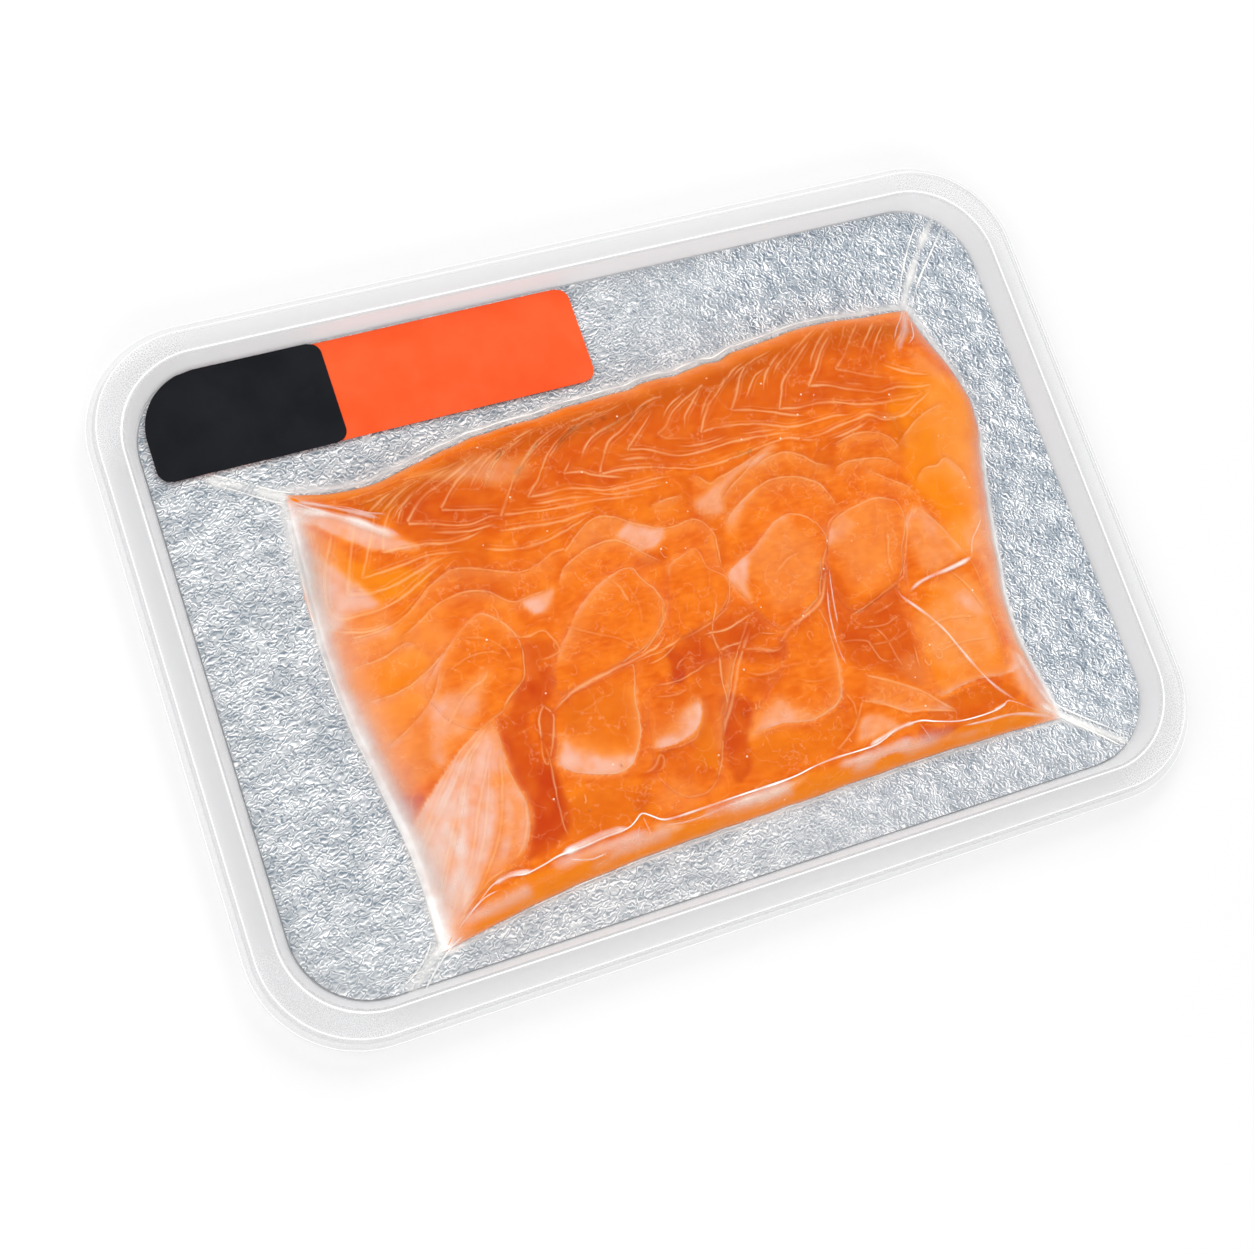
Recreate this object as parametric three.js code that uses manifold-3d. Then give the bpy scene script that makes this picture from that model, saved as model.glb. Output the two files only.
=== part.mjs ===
// A pack of sliced smoked salmon. The slices lie fanned on a foil-faced board in a shallow clear
// tray, under a clear skin film that is drawn down tight over them, with a label on the film.
// Millimetres. X runs along the pack's long side, Y across it, and Z up from the surface it lies on.
import * as THREE from "three";
import { mergeVertices } from "three/addons/utils/BufferGeometryUtils.js";
import Module from "manifold-3d";

// ---- driving dimensions ----------------------------------------------------------------------

// Tray: the crease is the line where the flat flange turns down into the outer step.
const CREASE_LENGTH = 250;
const CREASE_WIDTH = 177.3;
const CREASE_RADIUS = 25.5;
const TRAY_HEIGHT = 8;
const FLANGE_WIDTH = 6.3; // from the crease in to the recess wall
const BEND = 0.4; // half width of the small bends along crease, flange and floor
const STEP_FOOT = 1; // the outer step meets the lip this far out from the crease
const STEP_TOP = 0.15; // and the crease's bend this far out
const LIP_REACH = 2.6;
const LIP_DROP = 3;
const LIP_SLOPE = 0.25; // the lip falls by this much towards its rim
const FLOOR_THICKNESS = 0.8;
const WALL_THICKNESS = 0.6;
const WALL_LEAN_X = 2.7; // how far the recess wall leans inwards on the short sides
const WALL_LEAN_Y = 1.9; // and on the long sides
const RADIUS_RATE = 0.63; // how fast the corner radius shrinks inwards from the crease
const RADIUS_PER_LEAN = 1.7; // and down the leaning recess wall

// Board under the fish.
const BOARD_THICKNESS = 1.2;
const BOARD_TOP = FLOOR_THICKNESS + BOARD_THICKNESS;
const BOARD_CLEARANCE = 0.3; // between board and recess wall

// Fish: four corners drawn out into points, and sides that bulge by a sum of sine waves.
const FISH_CORNERS = [
  [-81.6, -73.9],
  [90.8, -65.8],
  [91.1, 51.8],
  [-85, 43.3],
];
const SIDE_BULGES = [
  [-4.16, -0.53, -0.56],
  [2.33, -5.22, 0.15, 0.07, -0.36, 0.44],
  [1.09, 1.92, -0.24, 1.49, -0.65, 0.39, -0.48],
  [2.37, 1.56, -0.59],
];
const FISH_HEIGHT = 9; // along the back, above the board
const BELLY_HEIGHT = 6.6; // where the loose slices lie on it
const BELLY_EDGE_Y = 15; // middle of the slope from back to belly
const BELLY_SLOPE = 14;
const SHOULDER_WIDTH = 7; // how far in from its outline the fish reaches its full height
const SHOULDER_POWER = 1.6;
const CORNER_REACH = 22; // the fish thins out within this distance of a corner
const CORNER_HEIGHT_SHARE = 0.45;
const FISH_EDGE = 0.5; // thickness left at the very outline
const SPINE_X = 40; // half length of the line that the fish's rings close in on
const SPINE_Y = -9;

// Film.
const FILM_THICKNESS = 0.4;
const FILM_GAP = 0.5; // between film and fish
const FILM_EDGE = 1; // the film stops this far in from the crease
const FILM_WALL_GAP = 0.45; // between film and recess wall
const FILM_BEND = 0.3; // the film leaves the flange this far before the recess wall
const FILM_TUCK = 0.7; // the film turns from the wall on to the board over this width
const FILM_TUCK_RISE = 0.5; // and over this height
const SLICE_ROOM = 3; // how far the film stands above the belly, for the slices under it
const FOLD_HEIGHT = 1.8; // of the raised folds at the fish's corners
const FOLD_FALL = 1.5; // power by which a fold sinks away from the fish
const FOLD_REACH = [1, 1, 1, 0.3]; // share of the way to the board's corner, short under the label

// Loose slices: middle, half length, half width, turn in degrees, thickness. Those first lie on top.
const SLICE_GAP = 0.45;
const SLICE_SPACING = 0.4;
const CUTTER_TOP = 32; // of the prisms that cut one slice out of those below it, well above the pack
const SLICE_EDGE_SHARE = 0.45; // thickness at a slice's edge, as a share of its middle
const SLICES = [
  { x: -19, y: -12, long: 17.5, wide: 10.5, turn: 30, thick: 2.3 },
  { x: 30, y: -9, long: 14.5, wide: 10.5, turn: 42, thick: 2.3 },
  { x: 53, y: -11, long: 16, wide: 10, turn: 52, thick: 2.2 },
  { x: -53, y: -9, long: 16, wide: 14, turn: 61, thick: 2.1 },
  { x: 5.5, y: -8, long: 9.5, wide: 7.5, turn: 87, thick: 1.8 },
  { x: -30, y: -34, long: 13.5, wide: 11, turn: 38, thick: 1.8 },
  { x: 25, y: -34, long: 14.5, wide: 11, turn: 59, thick: 1.8 },
  { x: -62, y: -43, long: 20, wide: 12.5, turn: 60, thick: 1.9 },
  { x: -6, y: -44, long: 14, wide: 10, turn: 69, thick: 1.5 },
  { x: 70, y: -31, long: 24, wide: 10.5, turn: 88, thick: 1.7 },
];

// Label: a strip with a shorter panel over its left end.
const LABEL_LEFT = -112.2;
const LABEL_BOTTOM = 53.1;
const LABEL_TOP = 79.7;
const STRIP_RIGHT = 1;
const PANEL_RIGHT = -65.4;
const LABEL_RADIUS = 3.5;
const LABEL_CORNER_RADIUS = 16; // at the corner that follows the tray's corner
const STRIP_INSET = 0.3; // the strip stays this far inside the panel's outline
const LABEL_GAP = 0.3;
const STRIP_THICKNESS = 0.3;
const PANEL_THICKNESS = 0.2;

// ---- surfaces and rings ----------------------------------------------------------------------

const ARC_STEPS = 3; // from the middle of a corner's arc to its end
const STRAIGHT_STEPS = 8;
const SIDE_STEPS = 2 * ARC_STEPS + STRAIGHT_STEPS;
const SLICE_SPOKES = 20;
const SLICE_RINGS = [1, 0.8, 0.45];
const LABEL_ARC_STEPS = 5;
const FISH_RINGS = [0, 0.02, 0.055, 0.12, 0.24, 0.38, 0.53, 0.68, 0.84]; // shares of the way to the spine
const FILM_FOOT = -0.02; // where the film lands on the board, on the same scale
const BARE_RINGS = [0.65, 0.3]; // shares of the way from the film's foot to the board's edge

const clamp = (v, low, high) => Math.min(Math.max(v, low), high);
const mix = (a, b, t) => a + (b - a) * t;
const smooth = (v) => {
  const t = clamp(v, 0, 1);
  return t * t * (3 - 2 * t);
};
const radians = (degrees) => (degrees * Math.PI) / 180;

// A closed body between an upper and a lower surface. Each surface is a list of rings from the
// rim inwards, each ring a list of [x, y, z] points counter-clockwise seen from above, and it
// closes on the middle of its last ring.
function bodyBetween(upper, lower) {
  const count = upper[0].length;
  const positions = [];
  const index = [];
  const addSurface = (rings, up) => {
    const first = positions.length / 3;
    rings.forEach((ring) => ring.forEach((point) => positions.push(...point)));
    const last = rings[rings.length - 1];
    const middle = [0, 1, 2].map((k) => last.reduce((sum, p) => sum + p[k], 0) / count);
    const hub = positions.length / 3;
    positions.push(...middle);
    const face = (a, b, c) => index.push(...(up ? [a, b, c] : [a, c, b]));
    for (let i = 0; i < count; i++) {
      const next = (i + 1) % count;
      for (let ring = 0; ring < rings.length - 1; ring++) {
        const outer = first + ring * count;
        const inner = outer + count;
        face(outer + i, outer + next, inner + next);
        face(outer + i, inner + next, inner + i);
      }
      const innermost = first + (rings.length - 1) * count;
      face(innermost + i, innermost + next, hub);
    }
    return first;
  };
  const top = addSurface(upper, true);
  const bottom = addSurface(lower, false);
  for (let i = 0; i < count; i++) {
    const next = (i + 1) % count;
    index.push(top + i, bottom + i, bottom + next, top + i, bottom + next, top + next);
  }
  const geometry = new THREE.BufferGeometry();
  geometry.setAttribute("position", new THREE.Float32BufferAttribute(positions, 3));
  geometry.setIndex(index);
  return geometry;
}

// A rounded rectangle round the origin at one height. Every side starts and ends in the middle of
// a corner's arc, so that corner stations match those of the fish.
function rimRing(halfX, halfY, radius, z) {
  const ring = [];
  for (let side = 0; side < 4; side++) {
    const facing = radians(270 + 90 * side);
    const centre = (corner) => {
      const angle = radians(225 + 90 * corner);
      return [Math.sign(Math.cos(angle)) * (halfX - radius), Math.sign(Math.sin(angle)) * (halfY - radius)];
    };
    const onArc = (corner, angle) => {
      const [x, y] = centre(corner);
      return [x + radius * Math.cos(angle), y + radius * Math.sin(angle), z];
    };
    const arcStep = radians(45) / ARC_STEPS;
    for (let i = ARC_STEPS; i > 0; i--) ring.push(onArc(side, facing - i * arcStep));
    const start = onArc(side, facing);
    const end = onArc(side + 1, facing);
    for (let k = 0; k <= STRAIGHT_STEPS; k++) {
      const share = k / STRAIGHT_STEPS;
      ring.push([mix(start[0], end[0], share), mix(start[1], end[1], share), z]);
    }
    for (let i = 1; i < ARC_STEPS; i++) ring.push(onArc(side + 1, facing + i * arcStep));
  }
  return ring;
}

// The tray's outline, moved outwards from the crease by out, with the recess wall's lean.
function trayRing(out, lean, z) {
  const radius = CREASE_RADIUS + (out > 0 ? out : out * RADIUS_RATE) - lean * RADIUS_PER_LEAN;
  return rimRing(
    CREASE_LENGTH / 2 + out - lean * WALL_LEAN_X,
    CREASE_WIDTH / 2 + out - lean * WALL_LEAN_Y,
    radius,
    z,
  );
}

// A point of the fish's outline: the straight line between two corners plus its side's sine waves.
function outlinePoint(side, share) {
  const [x0, y0] = FISH_CORNERS[side];
  const [x1, y1] = FISH_CORNERS[(side + 1) % 4];
  const length = Math.hypot(x1 - x0, y1 - y0);
  const bulge = SIDE_BULGES[side].reduce(
    (sum, height, wave) => sum + height * Math.sin((wave + 1) * Math.PI * share),
    0,
  );
  return [
    mix(x0, x1, share) + (bulge * (y1 - y0)) / length,
    mix(y0, y1, share) - (bulge * (x1 - x0)) / length,
  ];
}

// The fish's outline at the same stations as rimRing, closer together towards each corner.
const outline = [];
for (let side = 0; side < 4; side++)
  for (let i = 0; i < SIDE_STEPS; i++)
    outline.push(outlinePoint(side, (1 - Math.cos((Math.PI * i) / SIDE_STEPS)) / 2));

// The shortest distance from a point to the fish's outline.
const INSET_SAMPLES = 60;
const fineOutline = [0, 1, 2, 3].flatMap((side) =>
  Array.from({ length: INSET_SAMPLES }, (_, i) => outlinePoint(side, i / INSET_SAMPLES)),
);
function insetAt(x, y) {
  let nearest = Infinity;
  fineOutline.forEach(([ax, ay], i) => {
    const [bx, by] = fineOutline[(i + 1) % fineOutline.length];
    const along = (x - ax) * (bx - ax) + (y - ay) * (by - ay);
    const share = clamp(along / ((bx - ax) ** 2 + (by - ay) ** 2), 0, 1);
    nearest = Math.min(nearest, Math.hypot(x - mix(ax, bx, share), y - mix(ay, by, share)));
  });
  return nearest;
}

// How high the fish stands at a point as a share of its full height: a rounded shoulder along the
// outline, lower towards the drawn-out corners.
function rise(x, y) {
  const steep = 1 - clamp(insetAt(x, y) / SHOULDER_WIDTH, 0, 1);
  const shoulder = (1 - steep ** SHOULDER_POWER) ** (1 / SHOULDER_POWER);
  const corner = Math.min(...FISH_CORNERS.map(([cx, cy]) => Math.hypot(x - cx, y - cy)));
  return shoulder * mix(CORNER_HEIGHT_SHARE, 1, smooth(corner / CORNER_REACH));
}

// 0 on the thick back of the fish and 1 on the lower belly, where the loose slices lie.
const belly = (y) => smooth((BELLY_EDGE_Y - y) / BELLY_SLOPE + 0.5);

const fishTop = (x, y) => BOARD_TOP + rise(x, y) * mix(FISH_HEIGHT, BELLY_HEIGHT, belly(y));
const filmUnder = (x, y) =>
  BOARD_TOP + FILM_GAP + rise(x, y) * mix(FISH_HEIGHT, BELLY_HEIGHT + SLICE_ROOM, belly(y));

// A ring of the fish: each station moved from the outline towards the spine by a share of the way.
function fishRing(share, height) {
  return outline.map(([x, y]) => {
    const px = mix(x, clamp(x / 2, -SPINE_X, SPINE_X), share);
    const py = mix(y, SPINE_Y, share);
    return [px, py, height(px, py)];
  });
}

// ---- pieces ----------------------------------------------------------------------------------

function tray() {
  const lipTop = TRAY_HEIGHT - LIP_DROP;
  const upper = [
    trayRing(LIP_REACH, 0, lipTop),
    trayRing(STEP_FOOT, 0, lipTop + LIP_SLOPE),
    trayRing(STEP_TOP, 0, TRAY_HEIGHT - BEND),
    trayRing(-BEND, 0, TRAY_HEIGHT),
    trayRing(BEND - FLANGE_WIDTH, 0, TRAY_HEIGHT),
    trayRing(-FLANGE_WIDTH, 0, TRAY_HEIGHT - BEND),
    trayRing(-FLANGE_WIDTH, 1, FLOOR_THICKNESS),
  ];
  const flangeUnder = TRAY_HEIGHT - WALL_THICKNESS;
  const wallOutside = WALL_THICKNESS - FLANGE_WIDTH;
  const lower = [
    trayRing(LIP_REACH, 0, lipTop - WALL_THICKNESS),
    trayRing(STEP_FOOT - WALL_THICKNESS, 0, lipTop + LIP_SLOPE - WALL_THICKNESS),
    trayRing(STEP_TOP - WALL_THICKNESS, 0, flangeUnder - BEND),
    trayRing(-BEND - WALL_THICKNESS, 0, flangeUnder),
    trayRing(wallOutside + BEND, 0, flangeUnder),
    trayRing(wallOutside, 0, flangeUnder - BEND),
    trayRing(wallOutside, 1, BEND),
    trayRing(wallOutside - BEND, 1, 0),
  ];
  return bodyBetween(upper, lower);
}

function foilBoard() {
  const ring = (z) => trayRing(-FLANGE_WIDTH - BOARD_CLEARANCE, 1, z);
  return bodyBetween([ring(BOARD_TOP)], [ring(FLOOR_THICKNESS)]);
}

function salmonBack() {
  const edge = fishRing(0, () => BOARD_TOP + FISH_EDGE);
  const flesh = FISH_RINGS.slice(1).map((share) => fishRing(share, fishTop));
  return bodyBetween([edge, ...flesh], [fishRing(0, () => BOARD_TOP)]);
}

// The footprint of a slice: an ellipse, grown by margin, at a share of the way out from its middle.
function slicePoint({ x, y, long, wide, turn }, spoke, share, margin) {
  const angle = (2 * Math.PI * spoke) / SLICE_SPOKES;
  const along = share * (long + margin) * Math.cos(angle);
  const across = share * (wide + margin) * Math.sin(angle);
  const [c, s] = [Math.cos(radians(turn)), Math.sin(radians(turn))];
  return [x + along * c - across * s, y + along * s + across * c];
}

function sliceRing(slice, share, margin, height) {
  return Array.from({ length: SLICE_SPOKES }, (_, spoke) => {
    const [x, y] = slicePoint(slice, spoke, share, margin);
    return [x, y, height(x, y, share)];
  });
}

// One loose slice before its neighbours are cut out of it: thin at its edge, domed in the middle.
function wholeSlice(slice) {
  const under = (x, y) => fishTop(x, y) + SLICE_GAP;
  const over = (x, y, share) =>
    under(x, y) + slice.thick * rise(x, y) * mix(1, SLICE_EDGE_SHARE, share ** 2);
  return bodyBetween(
    SLICE_RINGS.map((share) => sliceRing(slice, share, 0, over)),
    SLICE_RINGS.map((share) => sliceRing(slice, share, 0, under)),
  );
}

// An upright prism over a slice's footprint, a little wider than the slice.
function sliceCutter(slice) {
  const ring = (z) => sliceRing(slice, 1, SLICE_SPACING, () => z);
  return bodyBetween([ring(CUTTER_TOP)], [ring(0)]);
}

// The film: over the flange, down the recess wall, flat on the board and up over the fish, with
// a raised fold from each corner of the fish towards the board's corner.
function skinFilm() {
  const wall = -FLANGE_WIDTH - FILM_WALL_GAP;
  const wallTop = TRAY_HEIGHT - FILM_TUCK;
  const wallFoot = BOARD_TOP + FILM_TUCK_RISE;
  const leanAt = (z) => (TRAY_HEIGHT - BEND - z) / (TRAY_HEIGHT - BEND - FLOOR_THICKNESS);
  const rimRings = (lift) => [
    trayRing(-FILM_EDGE, 0, TRAY_HEIGHT + lift),
    trayRing(FILM_BEND - FLANGE_WIDTH - lift / 2, 0, TRAY_HEIGHT + lift),
    trayRing(wall - lift, leanAt(wallTop), wallTop + lift / 2),
    trayRing(wall - lift, leanAt(wallFoot), wallFoot + lift / 2),
    trayRing(wall - FILM_TUCK - lift / 2, leanAt(wallFoot), BOARD_TOP + lift),
  ];
  const foldAt = (share, corner) =>
    FOLD_HEIGHT * Math.max(0, 1 - share / FOLD_REACH[corner]) ** FOLD_FALL;
  const surface = (lift) => {
    const rim = rimRings(lift);
    const boardEdge = rim[rim.length - 1];
    const foot = fishRing(FILM_FOOT, () => BOARD_TOP + lift);
    const bare = [...BARE_RINGS, 0].map((share) =>
      foot.map((point, i) => {
        const corner = i / SIDE_STEPS;
        const fold = Number.isInteger(corner) ? foldAt(share, corner) : 0;
        return [0, 1, 2].map((k) => mix(point[k], boardEdge[i][k], share) + (k === 2 ? fold : 0));
      }),
    );
    const edge = fishRing(0, () => BOARD_TOP + FISH_EDGE + FILM_GAP + lift);
    const cover = FISH_RINGS.slice(1).map((share) => fishRing(share, (x, y) => filmUnder(x, y) + lift));
    return [...rim, ...bare, edge, ...cover];
  };
  return bodyBetween(surface(FILM_THICKNESS), surface(0));
}

// A label's outline, counter-clockwise from its lower left corner, with its own corner radii.
function labelRing(left, right, bottom, top, radii, z) {
  const corners = [
    [left, bottom, 1, 1],
    [right, bottom, -1, 1],
    [right, top, -1, -1],
    [left, top, 1, -1],
  ];
  return corners.flatMap(([x, y, inX, inY], corner) =>
    Array.from({ length: LABEL_ARC_STEPS + 1 }, (_, i) => {
      const angle = radians(180 + 90 * corner + (90 * i) / LABEL_ARC_STEPS);
      const r = radii[corner];
      return [x + inX * r + r * Math.cos(angle), y + inY * r + r * Math.sin(angle), z];
    }),
  );
}

const STRIP_UNDER = BOARD_TOP + FILM_THICKNESS + LABEL_GAP;
const STRIP_TOP = STRIP_UNDER + STRIP_THICKNESS;
const LABEL_RADII = [LABEL_RADIUS, LABEL_RADIUS, LABEL_RADIUS, LABEL_CORNER_RADIUS];

function labelStrip() {
  const ring = (z) =>
    labelRing(
      LABEL_LEFT + STRIP_INSET,
      STRIP_RIGHT,
      LABEL_BOTTOM + STRIP_INSET,
      LABEL_TOP - STRIP_INSET,
      LABEL_RADII,
      z,
    );
  return bodyBetween([ring(STRIP_TOP)], [ring(STRIP_UNDER)]);
}

function labelPanel() {
  const ring = (z) => labelRing(LABEL_LEFT, PANEL_RIGHT, LABEL_BOTTOM, LABEL_TOP, LABEL_RADII, z);
  return bodyBetween([ring(STRIP_TOP + PANEL_THICKNESS)], [ring(STRIP_TOP)]);
}

// ---- cuts between neighbouring slices --------------------------------------------------------

const wasm = await Module();
wasm.setup();

function toSolid(geometry) {
  const merged = mergeVertices(geometry);
  return new wasm.Manifold(
    new wasm.Mesh({
      numProp: 3,
      vertProperties: merged.attributes.position.array,
      triVerts: new Uint32Array(merged.index.array),
    }),
  );
}

function toGeometry(solid) {
  const mesh = solid.getMesh();
  const geometry = new THREE.BufferGeometry();
  geometry.setAttribute("position", new THREE.BufferAttribute(mesh.vertProperties, mesh.numProp));
  geometry.setIndex(new THREE.BufferAttribute(mesh.triVerts, 1));
  return geometry;
}

// Each slice keeps only what shows past the slices that lie on top of it, in one piece.
function looseSlices() {
  return SLICES.map((slice, order) => {
    const shown = SLICES.slice(0, order).reduce(
      (solid, upper) => solid.subtract(toSolid(sliceCutter(upper))),
      toSolid(wholeSlice(slice)),
    );
    const [largest] = shown.decompose().sort((a, b) => b.volume() - a.volume());
    return toGeometry(largest);
  });
}

// ---- the pack --------------------------------------------------------------------------------

const clearPlastic = { color: "#f1f3f4", roughness: 0.15, metalness: 0, transparent: true, opacity: 0.35 };
const clearFilm = { color: "#ffffff", roughness: 0.08, metalness: 0, transparent: true, opacity: 0.2 };
const foil = { color: "#c3cad0", roughness: 0.35, metalness: 1 };
const flesh = { color: "#ee7a2e", roughness: 0.4, metalness: 0 };
const looseFlesh = { color: "#f28444", roughness: 0.35, metalness: 0 };
const orangePaper = { color: "#fc5c28", roughness: 0.5, metalness: 0 };
const blackPaper = { color: "#1e2026", roughness: 0.5, metalness: 0 };

const pack = new THREE.Group();

function addPiece(name, geometry, finish) {
  geometry.computeVertexNormals();
  const mesh = new THREE.Mesh(geometry, new THREE.MeshStandardMaterial(finish));
  mesh.name = name;
  pack.add(mesh);
}

addPiece("tray", tray(), clearPlastic);
addPiece("foil_board", foilBoard(), foil);
addPiece("salmon_back", salmonBack(), flesh);
looseSlices().forEach((geometry, i) => addPiece(`salmon_slice_${i + 1}`, geometry, looseFlesh));
addPiece("skin_film", skinFilm(), clearFilm);
addPiece("label_strip", labelStrip(), orangePaper);
addPiece("label_panel", labelPanel(), blackPaper);

export default pack;
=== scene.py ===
# %% [markdown]
# # A pack of sliced smoked salmon
# The real pack is a stack of thin, clear and shiny layers: a shallow clear tray, a board with
# crinkled foil on it, the fish, and a skin film that is drawn down tight over all of it. The label
# is stuck on the film. Each layer is its own piece here. The fish comes first, because the slices,
# the fat lines and the film all take their height from what lies under them.

import math

import bpy
import numpy as np
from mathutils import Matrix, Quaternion, Vector


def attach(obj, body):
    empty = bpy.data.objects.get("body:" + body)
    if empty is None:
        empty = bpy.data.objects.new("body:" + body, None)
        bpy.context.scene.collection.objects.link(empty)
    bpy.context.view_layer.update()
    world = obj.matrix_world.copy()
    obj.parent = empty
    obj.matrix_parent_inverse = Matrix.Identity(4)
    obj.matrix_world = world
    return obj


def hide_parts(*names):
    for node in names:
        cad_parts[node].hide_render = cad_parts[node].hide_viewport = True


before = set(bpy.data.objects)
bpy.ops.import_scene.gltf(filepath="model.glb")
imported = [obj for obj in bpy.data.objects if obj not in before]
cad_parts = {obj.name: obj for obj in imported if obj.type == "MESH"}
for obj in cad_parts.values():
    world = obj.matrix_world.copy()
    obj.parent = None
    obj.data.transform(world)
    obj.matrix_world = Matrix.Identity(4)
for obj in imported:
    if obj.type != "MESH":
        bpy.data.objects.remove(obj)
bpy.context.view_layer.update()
MM = 0.001
print("nodes:", sorted(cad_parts))

# %% [markdown]
# Everything on the pack is worked out in millimetres and turned into metres where its mesh is made.
# Shapes are numpy arrays: a height or a colour amount is a number for each point of a grid, so one
# line of arithmetic shapes the whole surface. Three curves do most of the work: a smooth step, a
# bell and a noise.

# %% Small helpers for numbers
def mix(a, b, t):
    """a where t is 0 and b where t is 1, in proportion between them."""
    return a + (b - a) * t


def smooth(t):
    """0 below 0, 1 above 1, and 3 t^2 - 2 t^3 between them."""
    t = np.clip(t, 0, 1)
    return t * t * (3 - 2 * t)


def fade(value, start, stop):
    """The smooth step from 0 at start to 1 at stop. Start may be the larger of the two."""
    return smooth((value - start) / (stop - start))


def bell(value, width, middle=0):
    """exp(-((value - middle) / width)^2): 1 at the middle and close to 0 two widths away."""
    return np.exp(-(((value - middle) / width) ** 2))


NOISE_SIZE = 64  # random values along each side of the lattice, which then repeats
NOISE_SHIFT = 500  # keeps the places on the lattice positive


def value_noise(x, y, scale, seed):
    """Smooth noise between -1 and 1: random values on a square lattice, scale millimetres apart,
    joined by the smooth step."""
    table = np.random.default_rng(seed).uniform(-1, 1, (NOISE_SIZE, NOISE_SIZE))
    u, v = np.asarray(x) / scale + NOISE_SHIFT, np.asarray(y) / scale + NOISE_SHIFT
    i, j = np.floor(u).astype(int), np.floor(v).astype(int)
    s, t = smooth(u - i), smooth(v - j)

    def corner(a, b):
        return table[a % NOISE_SIZE, b % NOISE_SIZE]

    near, far = mix(corner(i, j), corner(i + 1, j), s), mix(corner(i, j + 1), corner(i + 1, j + 1), s)
    return mix(near, far, t)


# %% [markdown]
# Much of the pack is drawn with lines: outlines of slices, fat lines, pleats. A line is written as a
# short run of numbers, x, y, x, y and so on, in millimetres. They are the places that a smooth curve
# passes through, so a line is easy to change by hand.

# %% Helpers for lines
def places(line):
    """The points of a line that is written as x, y, x, y and so on, or that is an array of them."""
    return np.reshape(line, (-1, 2)).astype(float)


def closed(loop):
    """A loop of points with its first one repeated at the end."""
    return np.vstack([loop, loop[:1]])


def run_length(line):
    """The length of a polyline from its start to each of its points."""
    return np.concatenate([[0], np.cumsum(np.hypot(*np.diff(line, axis=0).T))])


def left_of(line):
    """For each point of a polyline, the step of length 1 to the left of its direction."""
    way = np.gradient(line, axis=0)
    way /= np.hypot(*way.T)[:, None] + 1e-9
    return np.stack([-way[:, 1], way[:, 0]], -1)


def wobble(line, size, scale, seed):
    """The line with its points moved by up to size, by noise with lumps scale millimetres apart."""
    across, along = value_noise(*line.T, scale, seed), value_noise(*line.T, scale, seed + 1)
    return line + size * np.stack([across, along], -1)


def spline(line, step=0.6):
    """A smooth curve through the line's points, sampled about every step millimetres. Between two points it
    is the Catmull-Rom cubic: it leaves each point parallel to the line between its neighbours."""
    p = places(line)
    p = np.vstack([2 * p[0] - p[1], p, 2 * p[-1] - p[-2]])
    pieces = []
    for a, b, c, d in zip(p[:-3], p[1:-2], p[2:-1], p[3:]):
        n = max(2, int(np.linalg.norm(c - b) / step))
        t = (np.arange(n) / n)[:, None]
        bend = (2 * a - 5 * b + 4 * c - d) * t**2 + (3 * b - a - 3 * c + d) * t**3
        pieces.append(b + ((c - a) * t + bend) / 2)
    return np.vstack(pieces + [p[-2:-1]])


def closed_spline(line, count):
    """A smooth closed curve through the line's points, sampled at count evenly spaced places."""
    p = places(line)
    wrapped = spline(np.vstack([p[-2:], p, p[:2]]), 0.2)
    start = np.argmin(np.hypot(*(wrapped - p[0]).T))
    end = len(wrapped) - 1 - np.argmin(np.hypot(*(wrapped[::-1] - p[0]).T))
    loop = wrapped[min(start, end) : max(start, end) + 1]
    along = run_length(loop)
    at = np.linspace(0, along[-1], count, endpoint=False)
    return np.stack([np.interp(at, along, loop[:, k]) for k in (0, 1)], -1)


# %% [markdown]
# Two questions come up again and again about a point and a line: how far is it from here, and does
# the line go round it? Both are answered for a whole grid of points at once, one stretch of the line
# after the other.

# %% How points lie to a line
def distance_to(x, y, curve):
    """The distance from each point to a polyline, and the share of the way along it of the
    nearest place."""
    best = np.full(np.shape(x), np.inf)
    share = np.zeros(np.shape(x))
    last = len(curve) - 1
    for i, ((ax, ay), (bx, by)) in enumerate(zip(curve[:-1], curve[1:])):
        ux, uy = bx - ax, by - ay
        t = np.clip(((x - ax) * ux + (y - ay) * uy) / (ux * ux + uy * uy + 1e-12), 0, 1)
        d = np.hypot(x - ax - t * ux, y - ay - t * uy)
        nearer = d < best
        best = np.where(nearer, d, best)
        share = np.where(nearer, (i + t) / last, share)
    return best, share


def inside(x, y, loop):
    """True for points inside a closed polyline, by counting how often a ray to +X crosses it."""
    crossings = np.zeros(np.shape(x), int)
    for (ax, ay), (bx, by) in zip(loop, np.roll(loop, -1, 0)):
        if ay != by:
            spans = (ay > y) != (by > y)
            crossings += spans & (x < ax + (y - ay) * (bx - ax) / (by - ay))
    return crossings % 2 == 1


# %% [markdown]
# A mesh is a list of points and a list of faces. A grid of rows and columns, or a set of rings one
# inside the other, always has the same faces, so they are made by one formula and never by hand.
# Amounts that a material will need later, such as how pale the flesh is, are kept on the points as
# named attributes.

# %% Helpers that make meshes
def grid_quads(rows, columns, first=0, wrap=False):
    """The four-sided faces of a grid of points, facing up if rows run to +Y and columns to +X, or
    if rows run inwards and columns anticlockwise."""
    i = np.arange(rows * columns).reshape(rows, columns) + first
    if wrap:
        i = np.hstack([i, i[:, :1]])
    return np.stack([i[:-1, :-1], i[:-1, 1:], i[1:, 1:], i[1:, :-1]], -1).reshape(-1, 4)


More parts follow.
